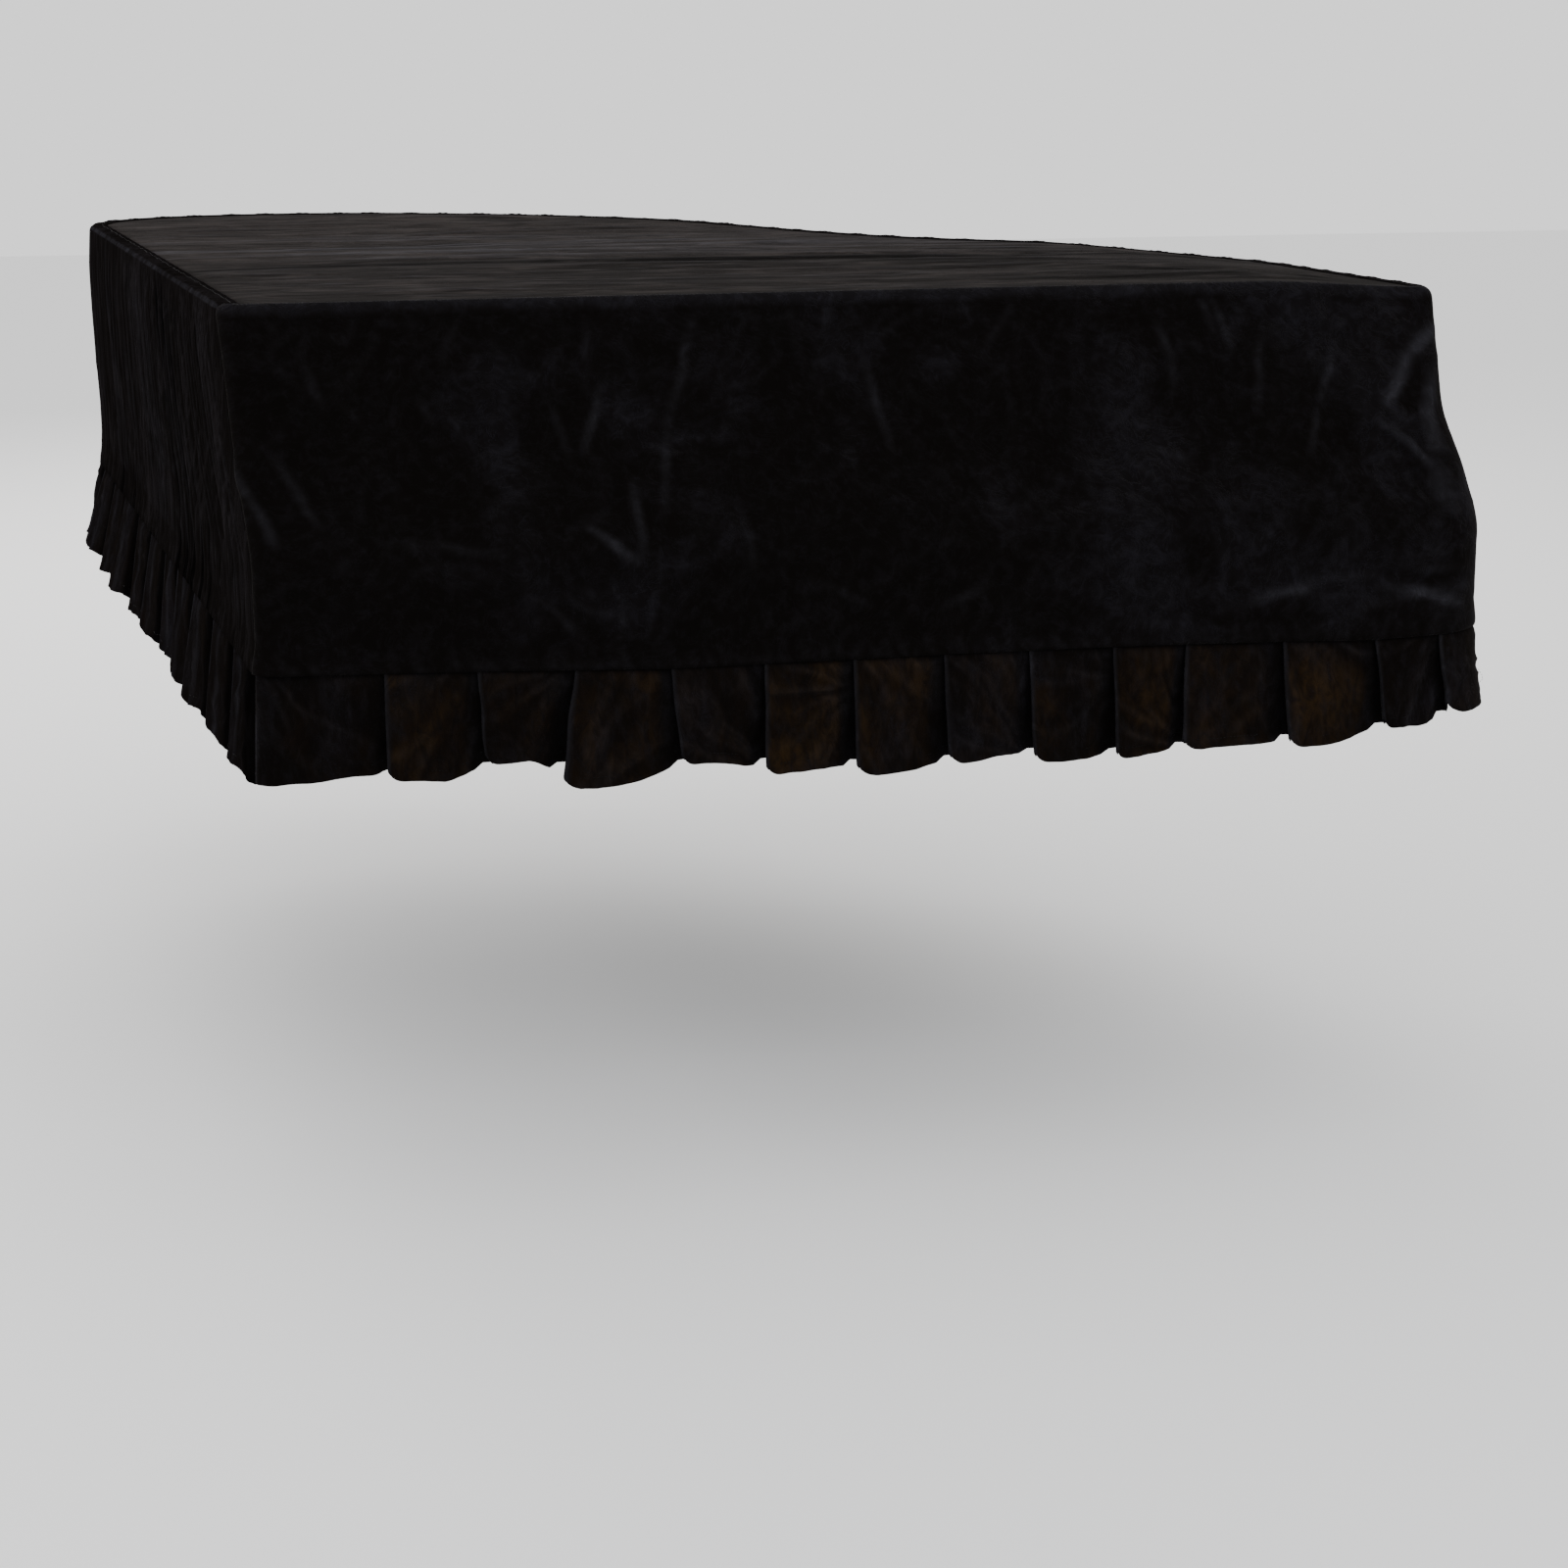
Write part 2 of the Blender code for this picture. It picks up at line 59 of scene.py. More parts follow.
# The lid that the cover fits
LID_WIDTH = 1.508
LID_LENGTH = 1.620
ORIGIN_BACK = 0.600
BAND = 0.025
FRONT_LIP = 0.013
FRONT_ROUND = 0.011    # radius at which the front cloth turns over the lid's edge
SIDE_ROUND = 0.006
MIDDLE = 0.001         # height of the middle of the cloth over the lid

# The lid's curve from the end of the straight side, round the tail, to the right cheek
RIM = (
    # right, back, heading, handle_in, handle_out
    (-0.0165, 1.360, 90, 0.00, 0.16),
    (0.350, LID_LENGTH, 0, 0.22, 0.22),
    (0.940, 1.260, -68, 0.19, 0.16),
    (1.198, 0.796, -38, 0.17, 0.15),
    (LID_WIDTH, 0.360, -90, 0.21, 0.00),
)

# By drop: reach of the front over the keyboard, radius of the corners, and how far the right side hangs out
FRONT_FALL = ((0.000, 0.000), (0.008, 0.000), (0.060, 0.038), (0.152, 0.095), (0.262, 0.203), (0.350, 0.206))
LEFT_CORNER = ((0.000, BAND), (0.008, BAND), (0.060, 0.016))
RIGHT_CORNER = ((0.000, BAND), (0.008, BAND), (0.060, 0.036), (0.152, 0.060), (0.262, 0.092), (0.350, 0.100))
RIGHT_BEYOND = (
    (0.000, 0.006), (0.008, 0.008), (0.060, -0.001), (0.152, -0.007), (0.262, 0.000), (0.350, 0.003),
    (0.420, 0.001),
)
SOFT_BEND = 0.020      # the bends between those rows are rounded over this much drop either way
CHEEK_SINK_START = 1.260
CHEEK_SINK = 0.011
SINK_ENDS = 0.152

# Drop of the flounce's seam: by right along the front, then by share of the way round the side
FRONT_SEAM = (
    (0.00, 0.368), (0.22, 0.376), (0.45, 0.387), (0.80, 0.391), (1.07, 0.396), (1.33, 0.406), (1.50, 0.404),
)
SIDE_SEAM = ((0.00, 0.368), (0.10, 0.364), (0.38, 0.360), (0.70, 0.376), (1.00, 0.404))

# Broad ridges and hollows of the front panel, which its solid has too
FRONT_CREASES = (
    # right_a, drop_a, right_b, drop_b, half_width, height
    (0.03, 0.150, 0.10, 0.262, 0.030, 0.006),
    (0.10, 0.262, 0.30, 0.275, 0.035, 0.005),
    (0.20, 0.040, 0.16, 0.200, 0.045, -0.004),
    (0.42, 0.130, 0.37, 0.250, 0.035, 0.005),
    (0.34, 0.225, 0.44, 0.270, 0.030, 0.006),
    (0.53, 0.060, 0.48, 0.240, 0.040, 0.004),
    (0.72, 0.070, 0.77, 0.170, 0.035, 0.004),
    (0.90, 0.120, 0.98, 0.300, 0.050, -0.004),
    (1.12, 0.030, 1.16, 0.130, 0.035, 0.004),
    (1.26, 0.080, 1.22, 0.210, 0.040, 0.004),
    (1.46, 0.040, 1.34, 0.150, 0.035, 0.010),
    (1.32, 0.165, 1.45, 0.285, 0.030, -0.008),
    (1.36, 0.140, 1.49, 0.215, 0.030, 0.008),
    (1.25, 0.385, 1.47, 0.372, 0.022, 0.005),
    (1.30, 0.345, 1.47, 0.350, 0.022, -0.005),
    (1.03, 0.385, 1.22, 0.350, 0.030, 0.004),
)
# Narrow creases of the front panel, in the same columns
FRONT_LINES = (
    (0.363, 0.231, 0.419, 0.268, 0.0060, 0.0030),
    (0.432, 0.190, 0.421, 0.262, 0.0055, 0.0024),
    (0.412, 0.095, 0.386, 0.158, 0.0060, 0.0024),
    (0.524, 0.035, 0.492, 0.130, 0.0050, 0.0018),
    (0.492, 0.130, 0.455, 0.229, 0.0050, 0.0020),
    (0.735, 0.070, 0.745, 0.165, 0.0050, 0.0020),
    (-0.004, 0.151, 0.008, 0.201, 0.0070, 0.0030),
    (0.008, 0.201, 0.030, 0.236, 0.0070, 0.0030),
    (0.040, 0.150, 0.075, 0.215, 0.0070, 0.0024),
    (1.196, 0.019, 1.203, 0.078, 0.0055, 0.0026),
    (1.180, 0.014, 1.186, 0.060, 0.0050, 0.0016),
    (1.345, 0.070, 1.312, 0.130, 0.0055, 0.0024),
    (1.312, 0.130, 1.280, 0.190, 0.0055, 0.0022),
    (1.330, 0.075, 1.300, 0.150, 0.0050, -0.0016),
    (1.495, 0.045, 1.439, 0.090, 0.0120, 0.0040),
    (1.439, 0.090, 1.394, 0.140, 0.0120, 0.0036),
    (1.477, 0.105, 1.434, 0.200, 0.0070, 0.0036),
    (1.380, 0.160, 1.411, 0.192, 0.0060, 0.0030),
    (1.411, 0.192, 1.445, 0.220, 0.0060, 0.0030),
    (1.381, 0.170, 1.409, 0.224, 0.0070, -0.0032),
    (1.409, 0.224, 1.436, 0.268, 0.0070, -0.0030),
    (1.400, 0.170, 1.450, 0.245, 0.0060, 0.0026),
    (1.335, 0.345, 1.456, 0.372, 0.0070, 0.0030),
    (1.315, 0.367, 1.461, 0.351, 0.0070, 0.0026),
    (1.340, 0.330, 1.470, 0.338, 0.0060, -0.0024),
    (1.160, 0.356, 1.258, 0.334, 0.0060, 0.0028),
    (1.258, 0.334, 1.330, 0.330, 0.0060, 0.0020),
    (0.153, 0.234, 0.278, 0.250, 0.0070, 0.0022),
    (0.077, 0.048, 0.101, 0.108, 0.0060, 0.0014),
    (1.256, 0.050, 1.220, 0.144, 0.0055, 0.0018),
    (0.711, 0.006, 0.691, 0.043, 0.0060, 0.0016),
    (0.934, 0.010, 0.881, 0.069, 0.0055, 0.0014),
    (1.034, 0.188, 1.071, 0.222, 0.0055, 0.0020),
    (1.060, 0.180, 1.120, 0.196, 0.0055, 0.0018),
    (0.352, 0.112, 0.361, 0.170, 0.0055, 0.0016),
    (0.945, 0.370, 1.134, 0.383, 0.0060, 0.0016),
    (0.201, 0.090, 0.220, 0.124, 0.0060, 0.0014),
    (0.267, 0.020, 0.236, 0.074, 0.0060, 0.0014),
    (1.116, 0.040, 1.124, 0.121, 0.0055, 0.0018),
    (0.548, 0.238, 0.553, 0.285, 0.0055, 0.0014),
    (0.774, 0.338, 0.834, 0.316, 0.0055, 0.0016),
    (0.610, 0.300, 0.690, 0.330, 0.0060, 0.0012),
    (0.300, 0.300, 0.360, 0.352, 0.0060, 0.0016),
    (0.330, 0.296, 0.400, 0.330, 0.0055, 0.0014),
)

# Where the front's pile is pressed paler, and painted shade where the amount is below 0
FRONT_PRESSED_AND_SHADE = (
    # right_a, drop_a, right_b, drop_b, half_width, amount
    (0.20, 0.061, 0.36, 0.091, 0.050, 0.10),
    (0.27, 0.105, 0.29, 0.203, 0.045, 0.15),
    (0.40, 0.115, 0.44, 0.150, 0.040, 0.15),
    (0.20, 0.235, 0.23, 0.285, 0.035, 0.13),
    (0.39, 0.295, 0.42, 0.345, 0.035, 0.13),
    (0.08, 0.230, 0.12, 0.250, 0.035, 0.11),
    (0.66, 0.020, 0.71, 0.070, 0.050, 0.10),
    (0.80, 0.080, 0.85, 0.110, 0.045, 0.12),
    (1.00, 0.030, 1.08, 0.050, 0.050, 0.15),
    (1.02, 0.140, 1.12, 0.230, 0.055, 0.13),
    (0.83, 0.225, 0.88, 0.240, 0.035, 0.12),
    (0.97, 0.310, 1.06, 0.270, 0.045, 0.15),
    (1.12, 0.300, 1.24, 0.320, 0.040, 0.15),
    (1.24, 0.030, 1.40, 0.060, 0.055, 0.15),
    (1.36, 0.150, 1.42, 0.200, 0.060, 0.17),
    (1.26, 0.345, 1.44, 0.335, 0.040, 0.15),
    (0.02, 0.020, 0.10, 0.200, 0.080, -0.10),
    (0.60, 0.150, 0.95, 0.180, 0.070, -0.06),
    (0.55, 0.300, 0.80, 0.330, 0.060, -0.10),
    (0.10, 0.320, 0.20, 0.360, 0.060, -0.08),
)
# Painted highlights along folds of the front, where the pile is also rubbed bright
FRONT_RUB_AND_HIGHLIGHT = (
    # right_a, drop_a, right_b, drop_b, half_width, amount
    (1.497, 0.045, 1.444, 0.084, 0.0080, 1.00),
    (1.444, 0.084, 1.394, 0.140, 0.0090, 0.90),
    (1.478, 0.100, 1.452, 0.180, 0.0100, 0.45),
    (1.500, 0.200, 1.480, 0.262, 0.0120, 0.35),
    (0.363, 0.231, 0.419, 0.268, 0.0045, 0.25),
    (0.432, 0.190, 0.421, 0.262, 0.0045, 0.15),
    (0.412, 0.095, 0.386, 0.158, 0.0045, 0.15),
    (-0.004, 0.151, 0.008, 0.201, 0.0055, 0.25),
    (0.008, 0.201, 0.030, 0.236, 0.0055, 0.25),
    (1.335, 0.345, 1.456, 0.372, 0.0080, 0.30),
    (1.160, 0.356, 1.258, 0.334, 0.0070, 0.25),
)

# Broad waves across the top panel, which its solid has too, then the narrow ones
TOP_WAVES = (
    # right_a, back_a, right_b, back_b, half_width, height
    (0.05, 0.120, 1.10, 0.160, 0.050, 0.003),
    (0.90, 0.210, 1.42, 0.090, 0.040, 0.005),
    (1.00, 0.300, 1.45, 0.260, 0.040, 0.005),
    (0.04, 0.420, 1.45, 0.370, 0.045, 0.006),
    (0.04, 0.560, 1.30, 0.540, 0.045, 0.006),
    (0.10, 0.720, 0.85, 0.690, 0.060, 0.004),
    (0.45, 0.830, 1.08, 0.790, 0.050, 0.005),
    (0.06, 0.950, 0.70, 0.930, 0.060, 0.004),
    (0.30, 1.120, 0.90, 1.090, 0.060, 0.005),
    (0.10, 1.270, 0.72, 1.300, 0.060, 0.004),
    (0.25, 1.450, 0.68, 1.430, 0.050, 0.005),
)
TOP_LINES = (
    (0.011, 0.476, 0.493, 0.502, 0.012, 0.0040),
    (0.493, 0.502, 1.149, 0.484, 0.012, 0.0044),
    (1.149, 0.484, 1.454, 0.411, 0.011, 0.0036),
    (0.130, 0.801, 0.675, 0.786, 0.012, 0.0024),
    (0.242, 1.029, 0.855, 1.108, 0.014, 0.0026),
    (0.376, 0.222, 0.843, 0.193, 0.010, 0.0020),
    (0.842, 0.417, 1.185, 0.369, 0.010, 0.0026),
    (1.009, 0.640, 1.300, 0.560, 0.010, 0.0026),
    (1.180, 0.250, 1.438, 0.080, 0.010, 0.0030),
    (0.960, 0.130, 1.300, 0.110, 0.009, 0.0020),
    (0.060, 0.300, 0.420, 0.330, 0.010, 0.0018),
    (0.299, 1.400, 0.660, 1.420, 0.014, 0.0024),
)

# Painted shade beside the top's wrinkles
TOP_SHADE = (
    # right_a, back_a, right_b, back_b, half_width, amount
    (0.011, 0.468, 0.493, 0.494, 0.020, -0.50),
    (0.493, 0.494, 1.149, 0.474, 0.021, -0.55),
    (1.149, 0.474, 1.454, 0.401, 0.020, -0.45),
    (0.130, 0.780, 0.675, 0.766, 0.024, -0.22),
    (0.842, 0.400, 1.185, 0.352, 0.018, -0.35),
    (1.009, 0.622, 1.300, 0.542, 0.022, -0.40),
    (1.180, 0.232, 1.438, 0.066, 0.022, -0.45),
    (0.960, 0.112, 1.300, 0.095, 0.015, -0.30),
    (0.376, 0.206, 0.843, 0.178, 0.014, -0.20),
)

# Broad gathers of the side panel, drawn at random as its solid's are
SIDE_STEP = 0.030
SEED = 11
GATHER_DEPTH = (
    # drop, depth of the broad gathers
    (0.000, 0.0016), (0.008, 0.0022), (0.060, 0.0042), (0.152, 0.0058), (0.262, 0.0062), (0.350, 0.0022),
    (0.400, 0.0012),
)
SIDE_PULL = (
    # drop, how far the cloth is drawn in
    (0.000, 0.000), (0.060, -0.003), (0.152, -0.001), (0.262, 0.003), (0.350, 0.002), (0.400, 0.001),
)
FINE_DEPTH = (
    # drop, depth of the fine gathers
    (0.000, 0.0011), (0.020, 0.0018), (0.080, 0.0027), (0.200, 0.0029), (0.300, 0.0024), (0.400, 0.0014),
)

# Knife pleats of the front flounce; glow is how much warm light its single layer lets through
FRONT_PLEATS = (
    # edge, swing, stand_out, hem_drop, glow
    (0.134, -0.002, 0.022, 0.494, 0.75), (0.236, 0.004, 0.012, 0.477, 0.30),
    (0.345, -0.022, 0.036, 0.508, 0.70), (0.454, 0.008, 0.020, 0.498, 0.30),
    (0.563, -0.004, 0.026, 0.513, 1.00), (0.668, -0.002, 0.028, 0.521, 0.95),
    (0.778, 0.003, 0.020, 0.516, 0.55), (0.883, 0.002, 0.026, 0.524, 0.50),
    (0.989, 0.000, 0.026, 0.526, 0.95), (1.083, -0.008, 0.024, 0.520, 0.55),
    (1.210, 0.004, 0.026, 0.526, 1.00), (1.333, 0.008, 0.024, 0.516, 0.15), (1.420, 0.006, 0.022, 0.498, 0.20),
)
CORNER_PANEL = (0.005, 0.490)     # how far the flounce stands out, and its hem's drop, at the left corner
CHEEK_PANEL = (0.009, 0.464)      # and at the right one
# Painted backlight glow of the corner panels and of the side's pleats
CORNER_GLOW = 0.15
SIDE_GLOW = 0.10
SIDE_PITCH = 0.150
SIDE_STAND_OUT = (
    (0.00, 0.020), (0.50, 0.028), (0.62, 0.038), (0.75, 0.024), (0.92, 0.018), (1.00, 0.008),
)
SIDE_LENGTHEN = (
    (0.00, -0.012), (0.12, 0.000), (0.50, 0.000), (0.60, -0.020), (0.66, -0.020), (0.78, -0.002),
    (0.90, -0.004), (1.00, -0.010),
)
FLOUNCE_HEIGHT = 0.132
UNEVEN_EDGE = 0.12
UNEVEN_SWING = 0.008
UNEVEN_STAND_OUT = (-0.004, 0.007)
UNEVEN_HEM = 0.005
UNDERLAP = 0.013
LAP = 0.0035           # how far one panel goes under the next at a seam
LAP_LIFT = 0.0013      # how much higher the upper one lies there
SEAM_LAYER = 0.0019
HEM_FOLD_RADIUS = 0.004
HEM_STITCHES_UP = 0.012
SEAM_ROLL = 0.0046     # how far the panel's turned lower edge stands out over the flounce
SEAM_COVER = 0.0015    # how far that edge comes down over it

# Camera of the photograph: place, turn from +Y towards +X, tilt down and roll in radians, and lens in mm
CAMERA_AT = (-1.15203, -3.79988, 0.29411)
CAMERA_TURN = 0.31795
CAMERA_TILT = 0.25596
CAMERA_ROLL = 0.00629
CAMERA_LENS = 65.865
FLOOR_LEVEL = -1.013


def between(rows, at):
    """Values of a table of (place, value) rows at places, along straight lines."""
    return np.interp(at, [row[0] for row in rows], [row[1] for row in rows])


def rounded(rows, drop):
    """The same with the bends between the rows rounded, and nothing changed at the top."""
    drop = np.asarray(drop, float)
    width = np.clip(drop, 0.0, SOFT_BEND)
    steps = np.linspace(-1, 1, 9)
    return sum(between(rows, drop + width * step) for step in steps) / len(steps)


def eased(share):
    """From 0 to 1, with a soft start and a soft end."""
    share = np.clip(share, 0.0, 1.0)
    return share * share * (3 - 2 * share)


def hills(x, y, seed):
    """Smooth noise from -1 to 1 with about one hump per unit."""
    table = np.random.default_rng(seed).uniform(-1, 1, (256, 256))
    x, y = np.broadcast_arrays(x, y)
    i, j = np.floor(x).astype(int), np.floor(y).astype(int)
    u, v = eased(x - i), eased(y - j)
    a, b = table[i % 256, j % 256], table[(i + 1) % 256, j % 256]
    c, d = table[i % 256, (j + 1) % 256], table[(i + 1) % 256, (j + 1) % 256]
    return (a * (1 - u) + b * u) * (1 - v) + (c * (1 - u) + d * u) * v


def crumple(x, y, seed, sharp=3.0):
    """Crossing creases from 0 to 1, where smooth noise changes its sign."""
    x, y = x + 0.5 * hills(0.9 * x, 0.9 * y, seed + 90), y + 0.5 * hills(0.9 * x, 0.9 * y, seed + 91)
    return (1 - np.abs(hills(0.84 * x + 0.54 * y, 0.84 * y - 0.54 * x, seed))) ** sharp


def ridges(rows, right, along):
    """Height of the ridges and hollows of a table over arrays of places on a panel."""
    height = np.zeros(np.broadcast(right, along).shape)
    for right_a, along_a, right_b, along_b, half_width, top in rows:
        run_x, run_y = right_b - right_a, along_b - along_a
        off_x, off_y = right - right_a, along - along_a
        share = (off_x * run_x + off_y * run_y) / (run_x ** 2 + run_y ** 2)
        inside = np.clip(share, 0.0, 1.0)
        beside = ((off_x - run_x * inside) ** 2 + (off_y - run_y * inside) ** 2) / half_width ** 2
        height += top * eased(1.15 - np.abs(2 * share - 1) * 0.75) * np.exp(-beside)
    return height


def sink(right, drop=0.0):
    """How much lower than the lid's face the cloth lies towards the right cheek."""
    deep = eased((right - CHEEK_SINK_START) / (LID_WIDTH - CHEEK_SINK_START))
    return CHEEK_SINK * deep * (1 - eased(drop / SINK_ENDS))


def to_frame(right, back, z):
    """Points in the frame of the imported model."""
    return np.stack(np.broadcast_arrays(right - LID_WIDTH / 2, back - ORIGIN_BACK, z), axis=-1)


def rim_curve():
    """Marks, points and outward directions of the lid's curve."""
    points = []
    for (xa, ya, turn_a, _, out_a), (xb, yb, turn_b, in_b, _) in zip(RIM, RIM[1:]):
        a, b = Vector((xa, ya)), Vector((xb, yb))
        leave = Vector((math.cos(math.radians(turn_a)), math.sin(math.radians(turn_a)))) * out_a
        arrive = Vector((math.cos(math.radians(turn_b)), math.sin(math.radians(turn_b)))) * in_b
        arc = interpolate_bezier(a, a + leave, b - arrive, b, 97)
        points += [tuple(p.to_2d()) for p in arc][bool(points):]
    points = np.array(points)
    travel = np.gradient(points, axis=0)
    outwards = np.stack((-travel[:, 1], travel[:, 0]), axis=1)
    outwards /= np.linalg.norm(outwards, axis=1)[:, None]
    marks = np.concatenate(([0.0], np.cumsum(np.linalg.norm(np.diff(points, axis=0), axis=1))))
    return marks, points, outwards


RIM_MARKS, RIM_POINTS, RIM_OUTWARDS = rim_curve()
RIM_TOTAL = RIM_MARKS[-1]
SPINE_END = RIM[0][1]
CHEEK_START = RIM[-1][1]
SIDE_LENGTH = SPINE_END + RIM_TOTAL + CHEEK_START


def side_plan(distance, drop):
    """Plan points and outward directions of the side, by distance at the lid's height and drop."""
    distance, drop = np.broadcast_arrays(np.asarray(distance, float), np.asarray(drop, float))
    reach = rounded(FRONT_FALL, drop)
    start = rounded(LEFT_CORNER, drop) - reach
    share = (distance - BAND) / (SPINE_END - BAND)
    spine = np.stack((RIM[0][0] * share, start + (SPINE_END - start) * share), axis=-1)
    on_rim = distance - SPINE_END
    rim = np.stack([np.interp(on_rim, RIM_MARKS, RIM_POINTS[:, k]) for k in (0, 1)], axis=-1)
    rim_out = np.stack([np.interp(on_rim, RIM_MARKS, RIM_OUTWARDS[:, k]) for k in (0, 1)], axis=-1)
    end = rounded(RIGHT_CORNER, drop) - reach
    share = (on_rim - RIM_TOTAL) / (CHEEK_START - BAND)
    right = LID_WIDTH + rounded(RIGHT_BEYOND, drop) * share
    cheek = np.stack((right, CHEEK_START + (end - CHEEK_START) * share), axis=-1)
    before, after = (distance < SPINE_END)[..., None], (on_rim > RIM_TOTAL)[..., None]
    point = np.where(before, spine, np.where(after, cheek, rim))
    outward = np.where(before, (-1.0, 0.0), np.where(after, (1.0, 0.0), rim_out))
    return point, outward


def front_plan(drop, marks, arc_steps):
    """Plan points and outward directions, round the left corner, along the front and round the right one."""
    reach = rounded(FRONT_FALL, drop)
    left, right = rounded(LEFT_CORNER, drop), rounded(RIGHT_CORNER, drop)
    right_edge = LID_WIDTH + rounded(RIGHT_BEYOND, drop)
    turns = np.radians(180 + 90 * np.arange(arc_steps) / arc_steps)
    out_left = np.stack((np.cos(turns), np.sin(turns)), axis=1)
    turns = np.radians(270 + 90 * np.arange(1, arc_steps + 1) / arc_steps)
    out_right = np.stack((np.cos(turns), np.sin(turns)), axis=1)
    across = left + (right_edge - left - right) * marks
    line = np.stack((across, np.full(len(marks), -reach)), axis=1)
    points = np.concatenate((
        np.array((left, left - reach)) + out_left * left,
        line,
        np.array((right_edge - right, right - reach)) + out_right * right,
    ))
    outwards = np.concatenate((out_left, np.tile((0.0, -1.0), (len(marks), 1)), out_right))
    return points, outwards


def side_seam_drop(distance):
    """Drop of the flounce's seam along the side."""
    return between(SIDE_SEAM, np.asarray(distance) / SIDE_LENGTH)


def side_gathers(rng):
    """Places and strengths of the broad gathers, drawn in the same order as in the solid."""
    first, last = BAND, SIDE_LENGTH - BAND
    count = round((last - first) / SIDE_STEP)
    places, strengths = [], []
    for i in range(count + 1):
        place = first + (last - first) * i / count
        inside = 0 < i < count
        if inside:
            place += rng.uniform(-0.28, 0.28) * SIDE_STEP
        strengths.append((1 if i % 2 else -1) * rng.uniform(0.45, 1.0) * inside)
        rng.uniform(-0.14, 0.14)
        places.append(place)
    return places, strengths


def side_pleats(length, seam_at, rng):
    """Pleats of the side flounce: edge, swing, stand out, hem drop and glow."""
    count = round(length / SIDE_PITCH)
    pitch = length / count
    pleats = []
    for i in range(1, count):
        edge = (i + rng.uniform(-UNEVEN_EDGE, UNEVEN_EDGE)) * pitch
        share = edge / length
        stand_out = between(SIDE_STAND_OUT, share) + rng.uniform(*UNEVEN_STAND_OUT)
        height = FLOUNCE_HEIGHT + between(SIDE_LENGTHEN, share) + rng.uniform(-UNEVEN_HEM, UNEVEN_HEM)
        swing = rng.uniform(-UNEVEN_SWING, UNEVEN_SWING)
        pleats.append((edge, swing, stand_out, seam_at(edge) + height, SIDE_GLOW))
    return pleats


class Run:
    """The line in plan that a flounce hangs from, read by distance along it."""

    def __init__(self, points, outwards, drops):
        self.points, self.outwards, self.drops = points, outwards, drops
        steps = np.linalg.norm(np.diff(points, axis=0), axis=1)
        self.marks = np.concatenate(([0.0], np.cumsum(steps)))
        self.length = float(self.marks[-1])

    def at(self, distance):
        """Plan point, outward direction and drop of the seam."""
        distance = np.clip(distance, 0.0, self.length)
        point = np.stack([np.interp(distance, self.marks, self.points[:, k]) for k in (0, 1)], axis=-1)
        outward = np.stack([np.interp(distance, self.marks, self.outwards[:, k]) for k in (0, 1)], axis=-1)
        outward /= np.linalg.norm(outward, axis=-1)[..., None]
        return point, outward, np.interp(distance, self.marks, self.drops)


def front_run():
    """The front flounce's line, from the left corner to the right one."""
    level = float(between(FRONT_SEAM, LID_WIDTH / 2))
    points, outwards = front_plan(level, np.linspace(0, 1, 35), 12)
    return Run(points, outwards, between(FRONT_SEAM, points[:, 0]))


def side_run():
    """The side flounce's line, from the right corner round the tail to the left one."""
    marks = np.linspace(SIDE_LENGTH - BAND, BAND, 401)
    drops = side_seam_drop(marks)
    points, outwards = side_plan(marks, drops)
    return Run(points, outwards, drops)


def curvature_shine(height, step_down, step_along, strength):
    """From 0 to 1, painted highlight where the cloth bends outwards sharply, where the pile is also rubbed
    bright.
    """
    down = np.zeros_like(height)
    along = np.zeros_like(height)
    down[1:-1] = (2 * height[1:-1] - height[:-2] - height[2:]) / step_down ** 2
    along[:, 1:-1] = (2 * height[:, 1:-1] - height[:, :-2] - height[:, 2:]) / step_along ** 2
    return np.clip((down + along) * strength, 0.0, 1.0)


def softened(values):
    """Values over rows and columns, averaged with those beside them."""
    for axis in (0, 1):
        values = 0.5 * values + 0.25 * (np.roll(values, 1, axis) + np.roll(values, -1, axis))
    return values


def sheet_mesh(name, points, faces, shine, painted_backlight, pressed):
    """A mesh with the three attributes that the velvet's materials read."""
    mesh = bpy.data.meshes.new(name)
    mesh.from_pydata(points.tolist(), [], faces)
    mesh.shade_smooth()
    for label, values in (("shine", shine), ("painted_backlight", painted_backlight), ("pressed", pressed)):
        attribute = mesh.attributes.new(label, "FLOAT", "POINT")
        attribute.data.foreach_set("value", np.ascontiguousarray(values, np.float32).ravel())
    mesh.update()
    return mesh


def grid_faces(down, across, flip):
    """Quads between the points of a grid of rows and columns."""
    r, c = np.meshgrid(np.arange(down - 1), np.arange(across - 1), indexing="ij")
    a = (r * across + c).ravel()
    quads = np.stack((a, a + across, a + across + 1, a + 1), axis=1)
    return (quads[:, ::-1] if flip else quads).tolist()


def place_sheet(name, mesh, material, thickness, node):
    """Puts a sheet in the scene in its solid's place, with its real thickness."""
    sheet = bpy.data.objects.new(name, mesh)
    bpy.context.scene.collection.objects.link(sheet)
    mesh.materials.append(material)
    cloth = sheet.modifiers.new("cloth_thickness", "SOLIDIFY")
    cloth.thickness = thickness
    cloth.offset = 0.0
    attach(sheet, BODY)
    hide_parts(node)
    return sheet


# Materials

def link_chain(tree, *pairs):
    """Links each pair of sockets in a node tree."""
    for source, target in pairs:
        tree.links.new(source, target)


